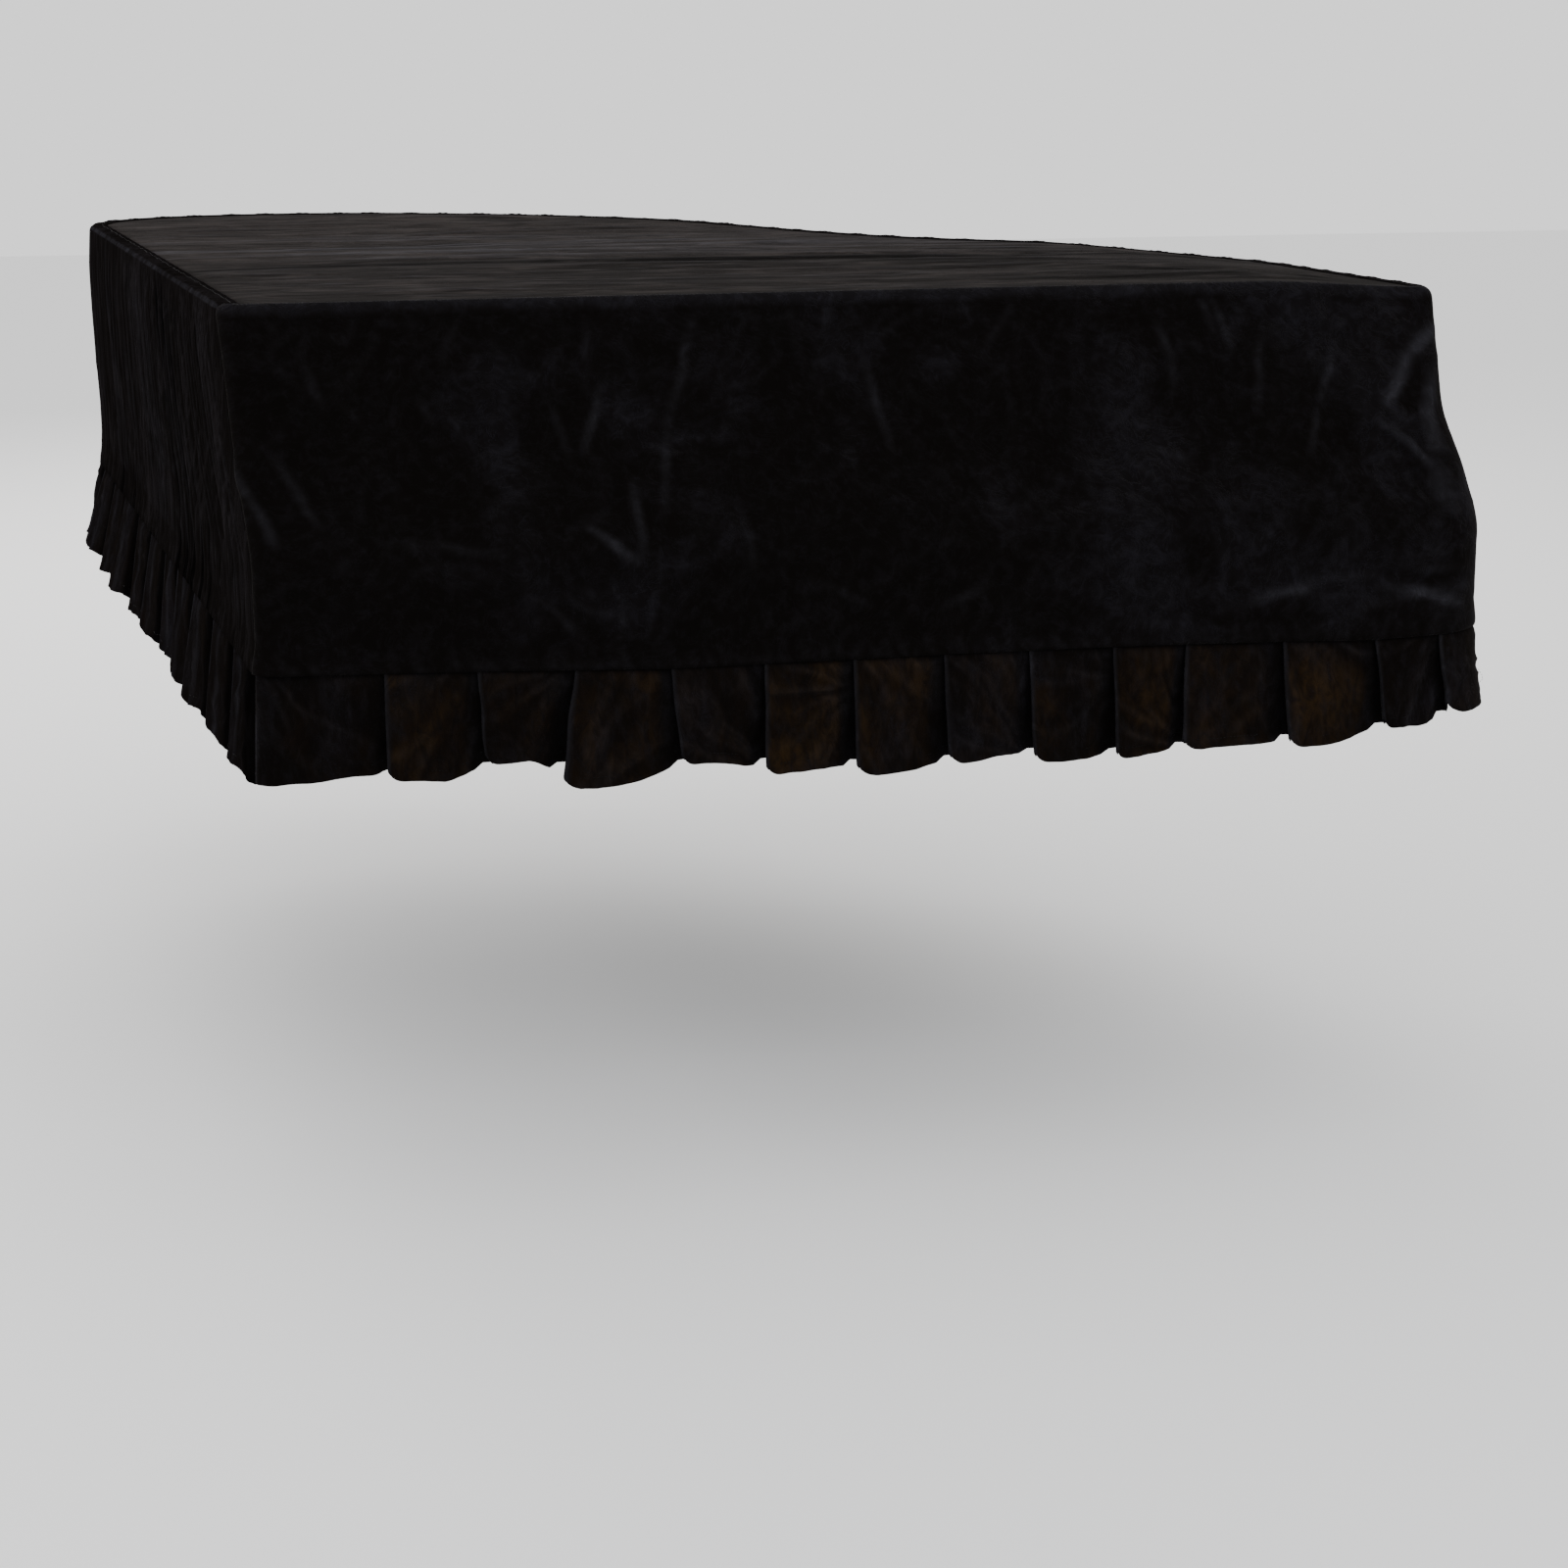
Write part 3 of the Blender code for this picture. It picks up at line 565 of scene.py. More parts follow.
def pile_and_painted_light_group():
    """Shader group: colour, roughness and height of a crushed velvet pile, with painted highlights, painted
    backlight glow and painted shade in its colour.
    """
    found = bpy.data.node_groups.get("crushed_pile_and_painted_light")
    if found:
        return found
    group = bpy.data.node_groups.new("crushed_pile_and_painted_light", "ShaderNodeTree")
    sockets = (
        ("Vector", "NodeSocketVector", None),
        ("Patch Scale", "NodeSocketFloat", 9.0),
        ("Streak Scale", "NodeSocketFloat", 60.0),
        ("Streak Amount", "NodeSocketFloat", 0.4),
        ("Patch Low", "NodeSocketFloat", 0.45),
        ("Patch High", "NodeSocketFloat", 0.72),
        ("Deep Colour", "NodeSocketColor", (0.004, 0.004, 0.005, 1)),
        ("Pale Colour", "NodeSocketColor", (0.05, 0.05, 0.065, 1)),
        ("Rubbed And Highlight Colour", "NodeSocketColor", (0.12, 0.12, 0.14, 1)),
        ("Backlight Colour", "NodeSocketColor", (0.08, 0.045, 0.015, 1)),
        ("Shine", "NodeSocketFloat", 0.0),
        ("Painted Backlight", "NodeSocketFloat", 0.0),
        ("Pressed", "NodeSocketFloat", 0.0),
    )
    for label, kind, default in sockets:
        socket = group.interface.new_socket(label, in_out="INPUT", socket_type=kind)
        if default is not None:
            socket.default_value = default
    results = (("Colour", "NodeSocketColor"), ("Roughness", "NodeSocketFloat"), ("Height", "NodeSocketFloat"))
    for label, kind in results:
        group.interface.new_socket(label, in_out="OUTPUT", socket_type=kind)
    nodes = group.nodes
    given, made = nodes.new("NodeGroupInput"), nodes.new("NodeGroupOutput")

    def noise(scale_socket, factor, detail, roughness, distortion):
        node = nodes.new("ShaderNodeTexNoise")
        node.inputs["Detail"].default_value = detail
        node.inputs["Roughness"].default_value = roughness
        node.inputs["Distortion"].default_value = distortion
        scale = nodes.new("ShaderNodeMath")
        scale.operation = "MULTIPLY"
        scale.inputs[1].default_value = factor
        link_chain(group, (scale_socket, scale.inputs[0]), (scale.outputs[0], node.inputs["Scale"]))
        group.links.new(given.outputs["Vector"], node.inputs["Vector"])
        return node.outputs["Fac"]

    def give(socket, item):
        if isinstance(item, (int, float)):
            socket.default_value = item
        else:
            group.links.new(item, socket)

    def value(operation, first, second):
        node = nodes.new("ShaderNodeMath")
        node.operation = operation
        give(node.inputs[0], first)
        give(node.inputs[1], second)
        return node.outputs[0]

    def spread(source, low, high):
        node = nodes.new("ShaderNodeMapRange")
        node.interpolation_type = "SMOOTHSTEP"
        group.links.new(source, node.inputs["Value"])
        give(node.inputs["From Min"], low)
        give(node.inputs["From Max"], high)
        return node.outputs["Result"]

    def mix(factor, first, second):
        node = nodes.new("ShaderNodeMix")
        node.data_type = "RGBA"
        link_chain(group, (factor, node.inputs[0]), (first, node.inputs[6]), (second, node.inputs[7]))
        return node.outputs[2]

    broad = noise(given.outputs["Patch Scale"], 1.0, 5.0, 0.60, 0.9)
    small = noise(given.outputs["Patch Scale"], 4.1, 4.0, 0.65, 1.4)
    streak = noise(given.outputs["Streak Scale"], 1.0, 3.0, 0.55, 0.3)
    fibre = noise(given.outputs["Streak Scale"], 9.0, 2.0, 0.5, 0.0)
    broad = value("ADD", broad, given.outputs["Pressed"])
    patch = spread(broad, given.outputs["Patch Low"], given.outputs["Patch High"])
    speck = spread(small, 0.42, 0.74)
    rubbed = value("MULTIPLY", patch, value("ADD", value("MULTIPLY", speck, 0.75), 0.25))
    lined = value("MULTIPLY", spread(streak, 0.46, 0.70), given.outputs["Streak Amount"])
    veins = noise(given.outputs["Patch Scale"], 2.3, 5.0, 0.68, 2.2)
    off_vein = value("ABSOLUTE", value("SUBTRACT", veins, 0.5), 0.0)
    ridge = value("SUBTRACT", 1.0, spread(off_vein, 0.004, 0.034))
    creased = value("MULTIPLY", ridge, value("ADD", value("MULTIPLY", patch, 0.60), 0.14))
    pale = value("MINIMUM", value("ADD", value("MAXIMUM", rubbed, creased), lined), 1.0)
    body = mix(pale, given.outputs["Deep Colour"], given.outputs["Pale Colour"])
    uneven = value("ADD", value("MULTIPLY", spread(small, 0.3, 0.7), 0.75), 0.25)
    # Painted backlight: a warm glow where a single layer has light behind it
    glow = value("MULTIPLY", given.outputs["Painted Backlight"], uneven)
    backlit_body = mix(glow, body, given.outputs["Backlight Colour"])
    # Painted highlight where Shine is high, where the pile is also rubbed paler
    bright = value("MULTIPLY", given.outputs["Shine"], value("ADD", value("MULTIPLY", speck, 0.50), 0.50))
    colour = mix(bright, backlit_body, given.outputs["Rubbed And Highlight Colour"])
    # Painted shade: the colour is darkened to a third where Pressed is well below 0, in hollows and beside
    # wrinkles
    hollow = nodes.new("ShaderNodeMix")
    hollow.data_type = "RGBA"
    hollow.inputs[6].default_value = (0.0, 0.0, 0.0, 1.0)
    lit = value("ADD", value("MULTIPLY", spread(given.outputs["Pressed"], -0.45, -0.10), 0.68), 0.32)
    link_chain(
        group,
        (lit, hollow.inputs[0]),
        (colour, hollow.inputs[7]),
        (hollow.outputs[2], made.inputs["Colour"]),
    )
    group.links.new(value("SUBTRACT", 0.86, value("MULTIPLY", pale, 0.26)), made.inputs["Roughness"])
    height = value("ADD", value("MULTIPLY", small, 0.55), value("MULTIPLY", streak, 0.30))
    height = value("ADD", height, value("MULTIPLY", creased, 0.35))
    group.links.new(value("ADD", height, value("MULTIPLY", fibre, 0.05)), made.inputs["Height"])
    return group


def velvet(name, stretch, patch_scale, streak_scale, streak_amount, limits, pale, rubbed, sheen, bump):
    """A velvet material; stretch scales its pattern along X, Y and Z, so that streaks run with the cloth."""
    sizes = bpy.context.scene.piano_cover
    material = bpy.data.materials.new(name)
    material.use_nodes = True
    tree = material.node_tree
    shader = tree.nodes["Principled BSDF"]
    place = tree.nodes.new("ShaderNodeTexCoord")
    mapping = tree.nodes.new("ShaderNodeMapping")
    mapping.inputs["Scale"].default_value = stretch
    pile = tree.nodes.new("ShaderNodeGroup")
    pile.node_tree = pile_and_painted_light_group()
    pile.inputs["Patch Scale"].default_value = patch_scale
    pile.inputs["Streak Scale"].default_value = streak_scale
    pile.inputs["Streak Amount"].default_value = streak_amount
    pile.inputs["Patch Low"].default_value, pile.inputs["Patch High"].default_value = limits
    pile.inputs["Deep Colour"].default_value = (*sizes.deep_colour, 1)
    pile.inputs["Pale Colour"].default_value = (*pale, 1)
    # The rubbed colour is also the colour of the painted highlights
    pile.inputs["Rubbed And Highlight Colour"].default_value = (*rubbed, 1)
    pile.inputs["Backlight Colour"].default_value = (*sizes.backlight_colour, 1)
    tree.links.new(place.outputs["Object"], mapping.inputs["Vector"])
    tree.links.new(mapping.outputs[0], pile.inputs["Vector"])
    for label, socket in (("shine", "Shine"), ("painted_backlight", "Painted Backlight"), ("pressed", "Pressed")):
        reader = tree.nodes.new("ShaderNodeAttribute")
        reader.attribute_name = label
        tree.links.new(reader.outputs["Fac"], pile.inputs[socket])
    relief = tree.nodes.new("ShaderNodeBump")
    relief.inputs["Strength"].default_value = bump
    relief.inputs["Distance"].default_value = 0.004
    link_chain(
        tree,
        (pile.outputs["Colour"], shader.inputs["Base Color"]),
        (pile.outputs["Roughness"], shader.inputs["Roughness"]),
        (pile.outputs["Height"], relief.inputs["Height"]),
        (relief.outputs["Normal"], shader.inputs["Normal"]),
    )
    shader.inputs["Specular IOR Level"].default_value = 0.0
    shader.inputs["Sheen Weight"].default_value = sheen
    shader.inputs["Sheen Roughness"].default_value = 0.32
    shader.inputs["Sheen Tint"].default_value = (*sizes.sheen_tint, 1)
    return material


def thread_material():
    """Black sewing thread with a fine twist."""
    material = bpy.data.materials.new("black_sewing_thread")
    material.use_nodes = True
    tree = material.node_tree
    shader = tree.nodes["Principled BSDF"]
    place = tree.nodes.new("ShaderNodeTexCoord")
    twist = tree.nodes.new("ShaderNodeTexNoise")
    twist.inputs["Scale"].default_value = 900.0
    tint = tree.nodes.new("ShaderNodeMix")
    tint.data_type = "RGBA"
    tint.inputs[6].default_value = (0.002, 0.002, 0.002, 1)
    tint.inputs[7].default_value = (0.008, 0.008, 0.009, 1)
    link_chain(
        tree,
        (place.outputs["Object"], twist.inputs["Vector"]),
        (twist.outputs["Fac"], tint.inputs[0]),
        (tint.outputs[2], shader.inputs["Base Color"]),
    )
    shader.inputs["Roughness"].default_value = 0.6
    shader.inputs["Specular IOR Level"].default_value = 0.06
    return material


# Panels

def top_edge_rows(lip, radius, steps=6):
    """Rows from a panel's seam on the lid round its edge: inward, drop, and angle, 0 where it lies flat."""
    rows = [(lip, 0.0, 0.0)]
    wide = lip > radius * 1.5
    if wide:
        rows.append((lip * 0.6 + radius * 0.4, 0.0, 0.0))
    for a in np.linspace(0, math.pi / 2, steps + 1)[0 if wide else 1:]:
        rows.append((radius * (1 - math.sin(a)), radius * (1 - math.cos(a)), a))
    return rows


def lay(point, outward, inward, drop, angle, height):
    """Points of the cloth: plan point, moved in by inward and off the surface by height."""
    flat, up = np.sin(angle), np.cos(angle)
    plan = point + outward * (height * flat - inward)[..., None]
    return to_frame(plan[..., 0], plan[..., 1], MIDDLE - drop - sink(point[..., 0], drop) + height * up)


def seam_flare(to_seam, along, seed):
    """How far the panel's lower edge stands out over the flounce, with the puckers of its seam."""
    pucker = crumple(along / 0.016 + to_seam / 0.05, to_seam / 0.05, seed, 2.0) - 0.4
    puckers = 0.0016 * pucker * eased(1 - to_seam / 0.045) * eased(to_seam / 0.004)
    return SEAM_ROLL * eased(1 - to_seam / 0.034) + puckers


def front_sheet_points(sizes):
    """Rows and columns of the front panel, with its pressed patches, painted shade, and painted highlights on
    folds whose pile is rubbed.
    """
    arc_steps = 9
    step = sizes.cloth_step
    marks = np.linspace(0, 1, round(1.44 / step))
    across = 2 * arc_steps + len(marks)
    edge = top_edge_rows(FRONT_LIP, FRONT_ROUND)
    level = float(between(FRONT_SEAM, LID_WIDTH / 2))
    radius = edge[-1][1]
    path = np.linspace(radius, level, 400)
    length = np.concatenate(([0.0], np.cumsum(np.hypot(np.diff(path), np.diff(rounded(FRONT_FALL, path))))))
    drops = np.interp(np.linspace(0, length[-1], round(length[-1] / step))[1:], length, path)
    columns = np.arange(across)
    from_end = np.minimum(columns, across - 1 - columns)
    points, heights, pressed, shine = [], [], [], []
    for number, (inward, drop, angle) in enumerate(edge + [(0.0, d, math.pi / 2) for d in drops]):
        point, outward = front_plan(drop, marks, arc_steps)
        share = max(drop - radius, 0.0) / (level - radius)
        seam = between(FRONT_SEAM, point[:, 0]) + SEAM_COVER
        here = drop + share * (seam - level)
        if number == 0:
            inward = FRONT_LIP + (BAND - FRONT_LIP) * (1 - np.clip(from_end / arc_steps, 0, 1))
        right = point[:, 0]
        to_joint = from_end * step
        calm = eased(to_joint / 0.02) * eased(here / 0.03)
        bent_right = right + 0.005 * hills(right / 0.040, here / 0.040, 51)
        bent_drop = here + 0.005 * hills(right / 0.040, here / 0.040, 52)
        height = ridges(FRONT_CREASES, right, here) * calm + ridges(FRONT_LINES, bent_right, bent_drop)
        folds = crumple(right / 0.055, here / 0.075, 3) - 0.25
        folds += 0.6 * crumple((right + here) / 0.034, (here - 0.4 * right) / 0.05, 4) - 0.15
        drift = hills(right / 0.16, here / 0.13, 5) * 0.0022
        busy = 0.55 + 0.45 * hills(right / 0.20, here / 0.16, 6)
        height = height + (folds * sizes.wrinkle_depth * busy + drift) * calm * eased((seam - here) / 0.02)
        height = height - 0.0006 * np.exp(-(to_joint / 0.004) ** 2) + seam_flare(seam - here, right, 8)
        height = np.where(drop > 0, height, 0.0) + LAP_LIFT * eased(1 - angle / 1.4)
        points.append(lay(point, outward, np.broadcast_to(inward, right.shape), here, angle, height))
        heights.append(height)
        # Painted sheen and highlight on the lip where it faces up, and a painted light gradient across the
        # front, darker to the left and paler to the right
        edge_light = eased(1 - drop / 0.016)
        brushed = 0.10 * (right / LID_WIDTH - 0.5)
        pressed.append(ridges(FRONT_PRESSED_AND_SHADE, right, here) + 0.30 * edge_light + brushed)
        shine.append(ridges(FRONT_RUB_AND_HIGHLIGHT, bent_right, bent_drop) + 0.22 * edge_light)
    heights = np.array(heights)
    bends = softened(curvature_shine(heights, step, step, 0.0042))
    bends[:8] = 0
    bends[-8:] *= 0.6
    return np.array(points), np.array(pressed), np.clip(bends + np.array(shine), 0, 1)


def side_sheet_points(sizes, rng):
    """Rows and columns of the gathered side panel, with its pressed patches, painted shade in its valleys and
    painted highlights on its folds and edge.
    """
    places, strengths = side_gathers(rng)
    columns = 1150
    distance = np.linspace(BAND - LAP, SIDE_LENGTH - BAND + LAP, columns)
    step = distance[1] - distance[0]
    to_joint = np.minimum(distance - BAND, SIDE_LENGTH - BAND - distance)
    edge = [(BAND, 0.0, 0.0), (BAND * 0.72, 0.0, 0.0)] + top_edge_rows(BAND * 0.45, SIDE_ROUND)
    radius = edge[-1][1]
    rows = edge + [(0.0, d, math.pi / 2) for d in np.linspace(radius, 0.370, 31)[1:]]
    points, heights, pressed, shine = [], [], [], []
    for inward, drop, angle in rows:
        share = max(drop - radius, 0.0) / (0.370 - radius)
        seam = side_seam_drop(distance) + SEAM_COVER
        here = drop + share * (seam - 0.370)
        point, outward = side_plan(distance, here)
        calm = eased(to_joint / 0.05)
        broad = sum(np.interp(distance + d, places, strengths) for d in (-0.006, 0.0, 0.006)) / 3
        height = broad * between(GATHER_DEPTH, here) * 0.9
        waver = 0.55 * hills(distance / 0.07, here / 0.16, 21) + 0.3 * hills(distance / 0.025, here / 0.09, 22)
        phase = distance / sizes.gather_pitch + waver + 0.35 * hills(distance / 0.3, 0.0, 26) * here / 0.1
        wave = (0.5 + 0.5 * np.cos(2 * math.pi * phase)) ** 1.5 - 0.35
        amount = 0.65 + 0.55 * hills(distance / 0.06, here / 0.24, 23)
        height = height + wave * between(FINE_DEPTH, here) * amount * (sizes.gather_depth / 0.0029)
        slanted = crumple((distance + 0.45 * here) / 0.022, here / 0.11, 24, 4.0)
        slanted += crumple((distance - 0.55 * here) / 0.026, here / 0.12, 25, 4.0) - 0.4
        height = height + slanted * 0.0016 * eased((here - 0.16) / 0.14)
        height = (height - between(SIDE_PULL, here)) * (0.15 + 0.85 * calm)
        if angle == 0.0:
            height = np.maximum(height, 0.0) * (0.5 + 0.5 * (inward < BAND))
        height = height - 0.0028 * eased(1 - to_joint / 0.009) * (drop > 0)
        height = height * (1 - 0.55 * eased(1 - (seam - here) / 0.012))
        height = height + seam_flare(seam - here, distance, 27)
        heights.append(height)
        height = height + LAP_LIFT * eased(1 - angle / 1.4) * eased(to_joint / 0.006)
        points.append(lay(point, outward, np.full(columns, inward), here, angle, height))
        # Pressed patches in broad groups, painted shade in the valleys of the gathers, paler on the flat band
        # and darker towards the seam
        groups = 0.22 * hills(distance / 0.09, here / 0.8, 71)
        groups = groups + 0.12 * hills(distance / 0.022, here / 0.5, 72)
        hollows = 0.42 * eased(-1.3 * broad) + 0.18 * eased(-wave / 0.3)
        depth = eased(0.55 + 0.75 * hills(distance / 0.05, here / 0.22, 74))
        hollows = hollows * eased((here - 0.005) / 0.05) * depth
        pressed.append(groups - hollows + 0.10 * (angle < 0.3) - 0.08 * eased((here - 0.27) / 0.08))
        # Painted highlight along the lid's rounded edge, broken by the gathers' ticks, and a little on the
        # flat band
        ticks = 0.6 + 0.4 * hills(distance / 0.012, 0.0, 73)
        shine.append(0.75 * ticks * (0.3 < angle < 1.3) + 0.30 * np.maximum(ticks - 0.8, 0.0) * (angle < 0.3))
    bends = curvature_shine(np.array(heights), step * 3, step * 1.5, 0.0018)
    bends[:9] = 0
    bends[-4:] *= 0.3
    return np.array(points), np.array(pressed), np.clip(bends + np.array(shine), 0, 1)


def inset_loop(points, distance):
    """A closed loop of plan points, travelled clockwise, moved inward."""
    before, after = np.roll(points, 1, axis=0), np.roll(points, -1, axis=0)
    first, second = points - before, after - points
    first /= np.linalg.norm(first, axis=1)[:, None]
    second /= np.linalg.norm(second, axis=1)[:, None]
    travel = first + second
    travel /= np.linalg.norm(travel, axis=1)[:, None]
    inward = np.stack((travel[:, 1], -travel[:, 0]), axis=1)
    return points + inward * (distance / np.maximum((travel * first).sum(axis=1), 0.5))[:, None]


def inside_and_distance(spots, loop):
    """Whether each spot lies inside the loop, and how far it is from the loop's points."""
    ends = np.roll(loop, -1, axis=0)
    inside, nearest = np.zeros(len(spots), bool), np.zeros(len(spots))
    for start in range(0, len(spots), 4000):
        part = spots[start:start + 4000]
        x, y = part[:, :1], part[:, 1:]
        crosses = (loop[:, 1] > y) != (ends[:, 1] > y)
        rise = np.where(np.abs(ends[:, 1] - loop[:, 1]) < 1e-12, 1e-12, ends[:, 1] - loop[:, 1])
        at = loop[:, 0] + (y - loop[:, 1]) * (ends[:, 0] - loop[:, 0]) / rise
        inside[start:start + 4000] = (crosses & (at > x)).sum(axis=1) % 2 == 1
        nearest[start:start + 4000] = np.hypot(x - loop[:, 0], y - loop[:, 1]).min(axis=1)
    return inside, nearest


def top_height(right, back, from_edge):
    """Height of the top panel's waves and narrow wrinkles over the lid."""
    height = np.maximum(ridges(TOP_WAVES, right, back), 0.0) + ridges(TOP_LINES, right, back)
    height = height + 0.0016 * hills(right / 0.30, back / 0.035, 31)
    height = height + 0.0009 * hills(right / 0.14, back / 0.016, 32)
    bent_back = back / 0.030 + 0.5 * hills(right / 0.3, back / 0.3, 35)
    height = height + 0.0012 * crumple(right / 0.22, bent_back, 33, 5.0)
    return np.maximum(height, 0.0) * eased(from_edge / 0.03)


def top_sheet(sizes, seam_side, seam_front):
    """Points and faces of the top panel inside its seams, with the shine and shade of its wrinkles."""
    seam = np.concatenate((seam_side[::3], seam_front[::-1][1:-1:2]))
    loop = inset_loop(seam[:, :2], -LAP)
    step = sizes.top_step
    i, j = np.meshgrid(np.arange(1, round(1.6 / step)), np.arange(1, round(1.7 / step)), indexing="ij")
    spots = np.stack(((i - 0.5 * (j % 2)) * step - LID_WIDTH / 2, j * step - ORIGIN_BACK), axis=-1)
    spots = spots.reshape(-1, 2)
    inside, nearest = inside_and_distance(spots, loop)
    kept = inside & (nearest > step * 0.6)
    spots, nearest = spots[kept], nearest[kept]
    border = [(k, (k + 1) % len(loop)) for k in range(len(loop))]
    net = [Vector(p) for p in np.concatenate((loop, spots))]
    flat, _, faces, origins, _, _ = delaunay_2d_cdt(net, border, [], 1, 1e-6)
    flat = np.array([tuple(p) for p in flat])
    from_edge = np.concatenate((np.zeros(len(loop)), nearest))
    from_edge = np.array([from_edge[known[0]] if known else 0.0 for known in origins])
    right, back = flat[:, 0] + LID_WIDTH / 2, flat[:, 1] + ORIGIN_BACK
    height = top_height(right, back, from_edge)
    z = MIDDLE + height - sink(right)
    # Painted highlights on the wrinkles' crests and painted sheen streaks across the middle of the top
    bend = 2 * height - top_height(right, back - step, from_edge) - top_height(right, back + step, from_edge)
    streaks = eased((back - 0.50) / 0.05) * eased((1.10 - back) / 0.25)
    streaks = streaks * hills(right / 0.40, back / 0.022, 36)
    shine = np.clip(bend / step ** 2 * 0.011 + 0.70 * np.maximum(streaks, 0.0), 0, 1)
    # A painted light step across the crosswise crease, paler behind it and darker in front, then painted shade
    # beside the wrinkles and in dark streaks at the front right
    pressed = 0.08 * np.sign(back - 0.49) * eased(np.abs(back - 0.49) / 0.03)
    pressed += ridges(TOP_SHADE, right, back)
    pressed -= 0.16 * eased((right - 0.95) / 0.2) * eased((0.45 - back) / 0.1) * np.maximum(
        hills(right / 0.25 + back / 0.3, back / 0.035 + right / 0.25, 37) + 0.3, 0.0)
    return np.column_stack((flat, z)), [tuple(face) for face in faces], shine, pressed


# Flounces

def flounce_table(run, pleats, ends, shares, per_pleat):
    """Over rows and columns: distance along the run, out, hem drop, painted backlight glow, and share of the
    pleat.
    """
    (first_out, first_hem), (last_out, last_hem) = ends
    table = []
    for share in shares:
        radius = SEAM_LAYER / 2 + (HEM_FOLD_RADIUS - SEAM_LAYER / 2) * share
        row = []

        def add(along, out, hem, glow, part):
            row.append(np.array((along, out, hem, glow, part)))

        lead = pleats[0][0] + pleats[0][1] * share
        for part in np.linspace(0, 1, 2 * per_pleat)[:-1]:
            open_part = min(part / 0.3, 1.0) * min((1 - part) / 0.12, 1.0)
            add(lead * part, first_out * share * (1 - part ** 2), first_hem, CORNER_GLOW * open_part, part)
        for along, out in ((UNDERLAP - radius, 0.0), (UNDERLAP, radius), (UNDERLAP - radius, 2 * radius)):
            add(lead + along, out, first_hem, 0.0, 1.0)
        for k, (seam_edge, swing, opened, hem, glow) in enumerate(pleats):
            last = k == len(pleats) - 1
            edge = seam_edge + swing * share
            pitch = (run.length if last else pleats[k + 1][0] + pleats[k + 1][1] * share) - edge
            next_hem = last_hem if last else pleats[k + 1][3]
            top = max(2 * SEAM_LAYER + max(opened - 2 * SEAM_LAYER, 0.0) * share, 4 * radius)
            controls = [(radius, top - 2 * radius), (radius * 0.3, top - 1.7 * radius), (0.0, top - radius)]
            controls += [(radius * 0.3, top - 0.3 * radius), (radius, top)]
            for part in np.linspace(0, 1, per_pleat)[1:-1]:
                if last:
                    out = top * (1 - part) + last_out * share * part
                else:
                    slope = (1, 0.80 + 0.14 * share, 0.42 + 0.2 * share, 0.04)
                    out = top * np.interp(part, (0, 0.34, 0.68, 0.95), slope)
                controls.append((pitch * part if last else radius + (pitch - 0.006 - radius) * part, out))
            if last:
                controls.append((pitch, last_out * share))
            else:
                lap = pitch + UNDERLAP
                controls += [(pitch, 0.0), (lap - radius, 0.0), (lap, radius), (lap - radius, 2 * radius)]
            for along, out in controls:
                part = min(max(along / pitch, 0.0), 1.0)
                blend = float(eased((part - 0.55) / 0.45)) * (1.0 if last else 0.5)
                lit = min(part / 0.05, 1.0) * min(max(0.90 - part, 0) / 0.10, 1.0)
                add(edge + along, out, hem + (next_hem - hem) * blend, glow * lit, part)
        table.append(row)
    return np.array(table)


def rounding(share):
    """From 1 at a corner to 0 at share 1, along a quarter of an ellipse."""
    share = np.clip(share, 0.0, 1.0)
    return 1 - np.sqrt(1 - (1 - share) ** 2)


def drag_lines(along, share, pleats, length, seed):
    """From 0 to 1, soft folds that run out from a spot beyond one corner of each pleat."""
    rng = np.random.default_rng(seed)
    edges = np.array([0.0] + [pleat[0] for pleat in pleats] + [length])
    which = np.clip(np.searchsorted(edges, along, side="right") - 1, 0, len(edges) - 2)
    wide = np.diff(edges)
    spot = edges[:-1] + np.where(rng.random(len(wide)) < 0.6, 1.05, -0.05) * wide
    level = rng.choice((-0.15, 0.30, 1.05), len(wide), p=(0.5, 0.25, 0.25))
    off_x, off_y = along - spot[which], (share - level[which]) * FLOUNCE_HEIGHT
    turn = np.arctan2(off_y, off_x) + 0.10 * hills(along / 0.04, share * 3.0, seed + 7)
    reach = np.hypot(off_x, off_y)
    lines = crumple(turn * 5.0 + 9.7 * which, reach / 0.16, seed, 1.8)
    return lines * eased(reach / 0.020) * eased(share / 0.10)


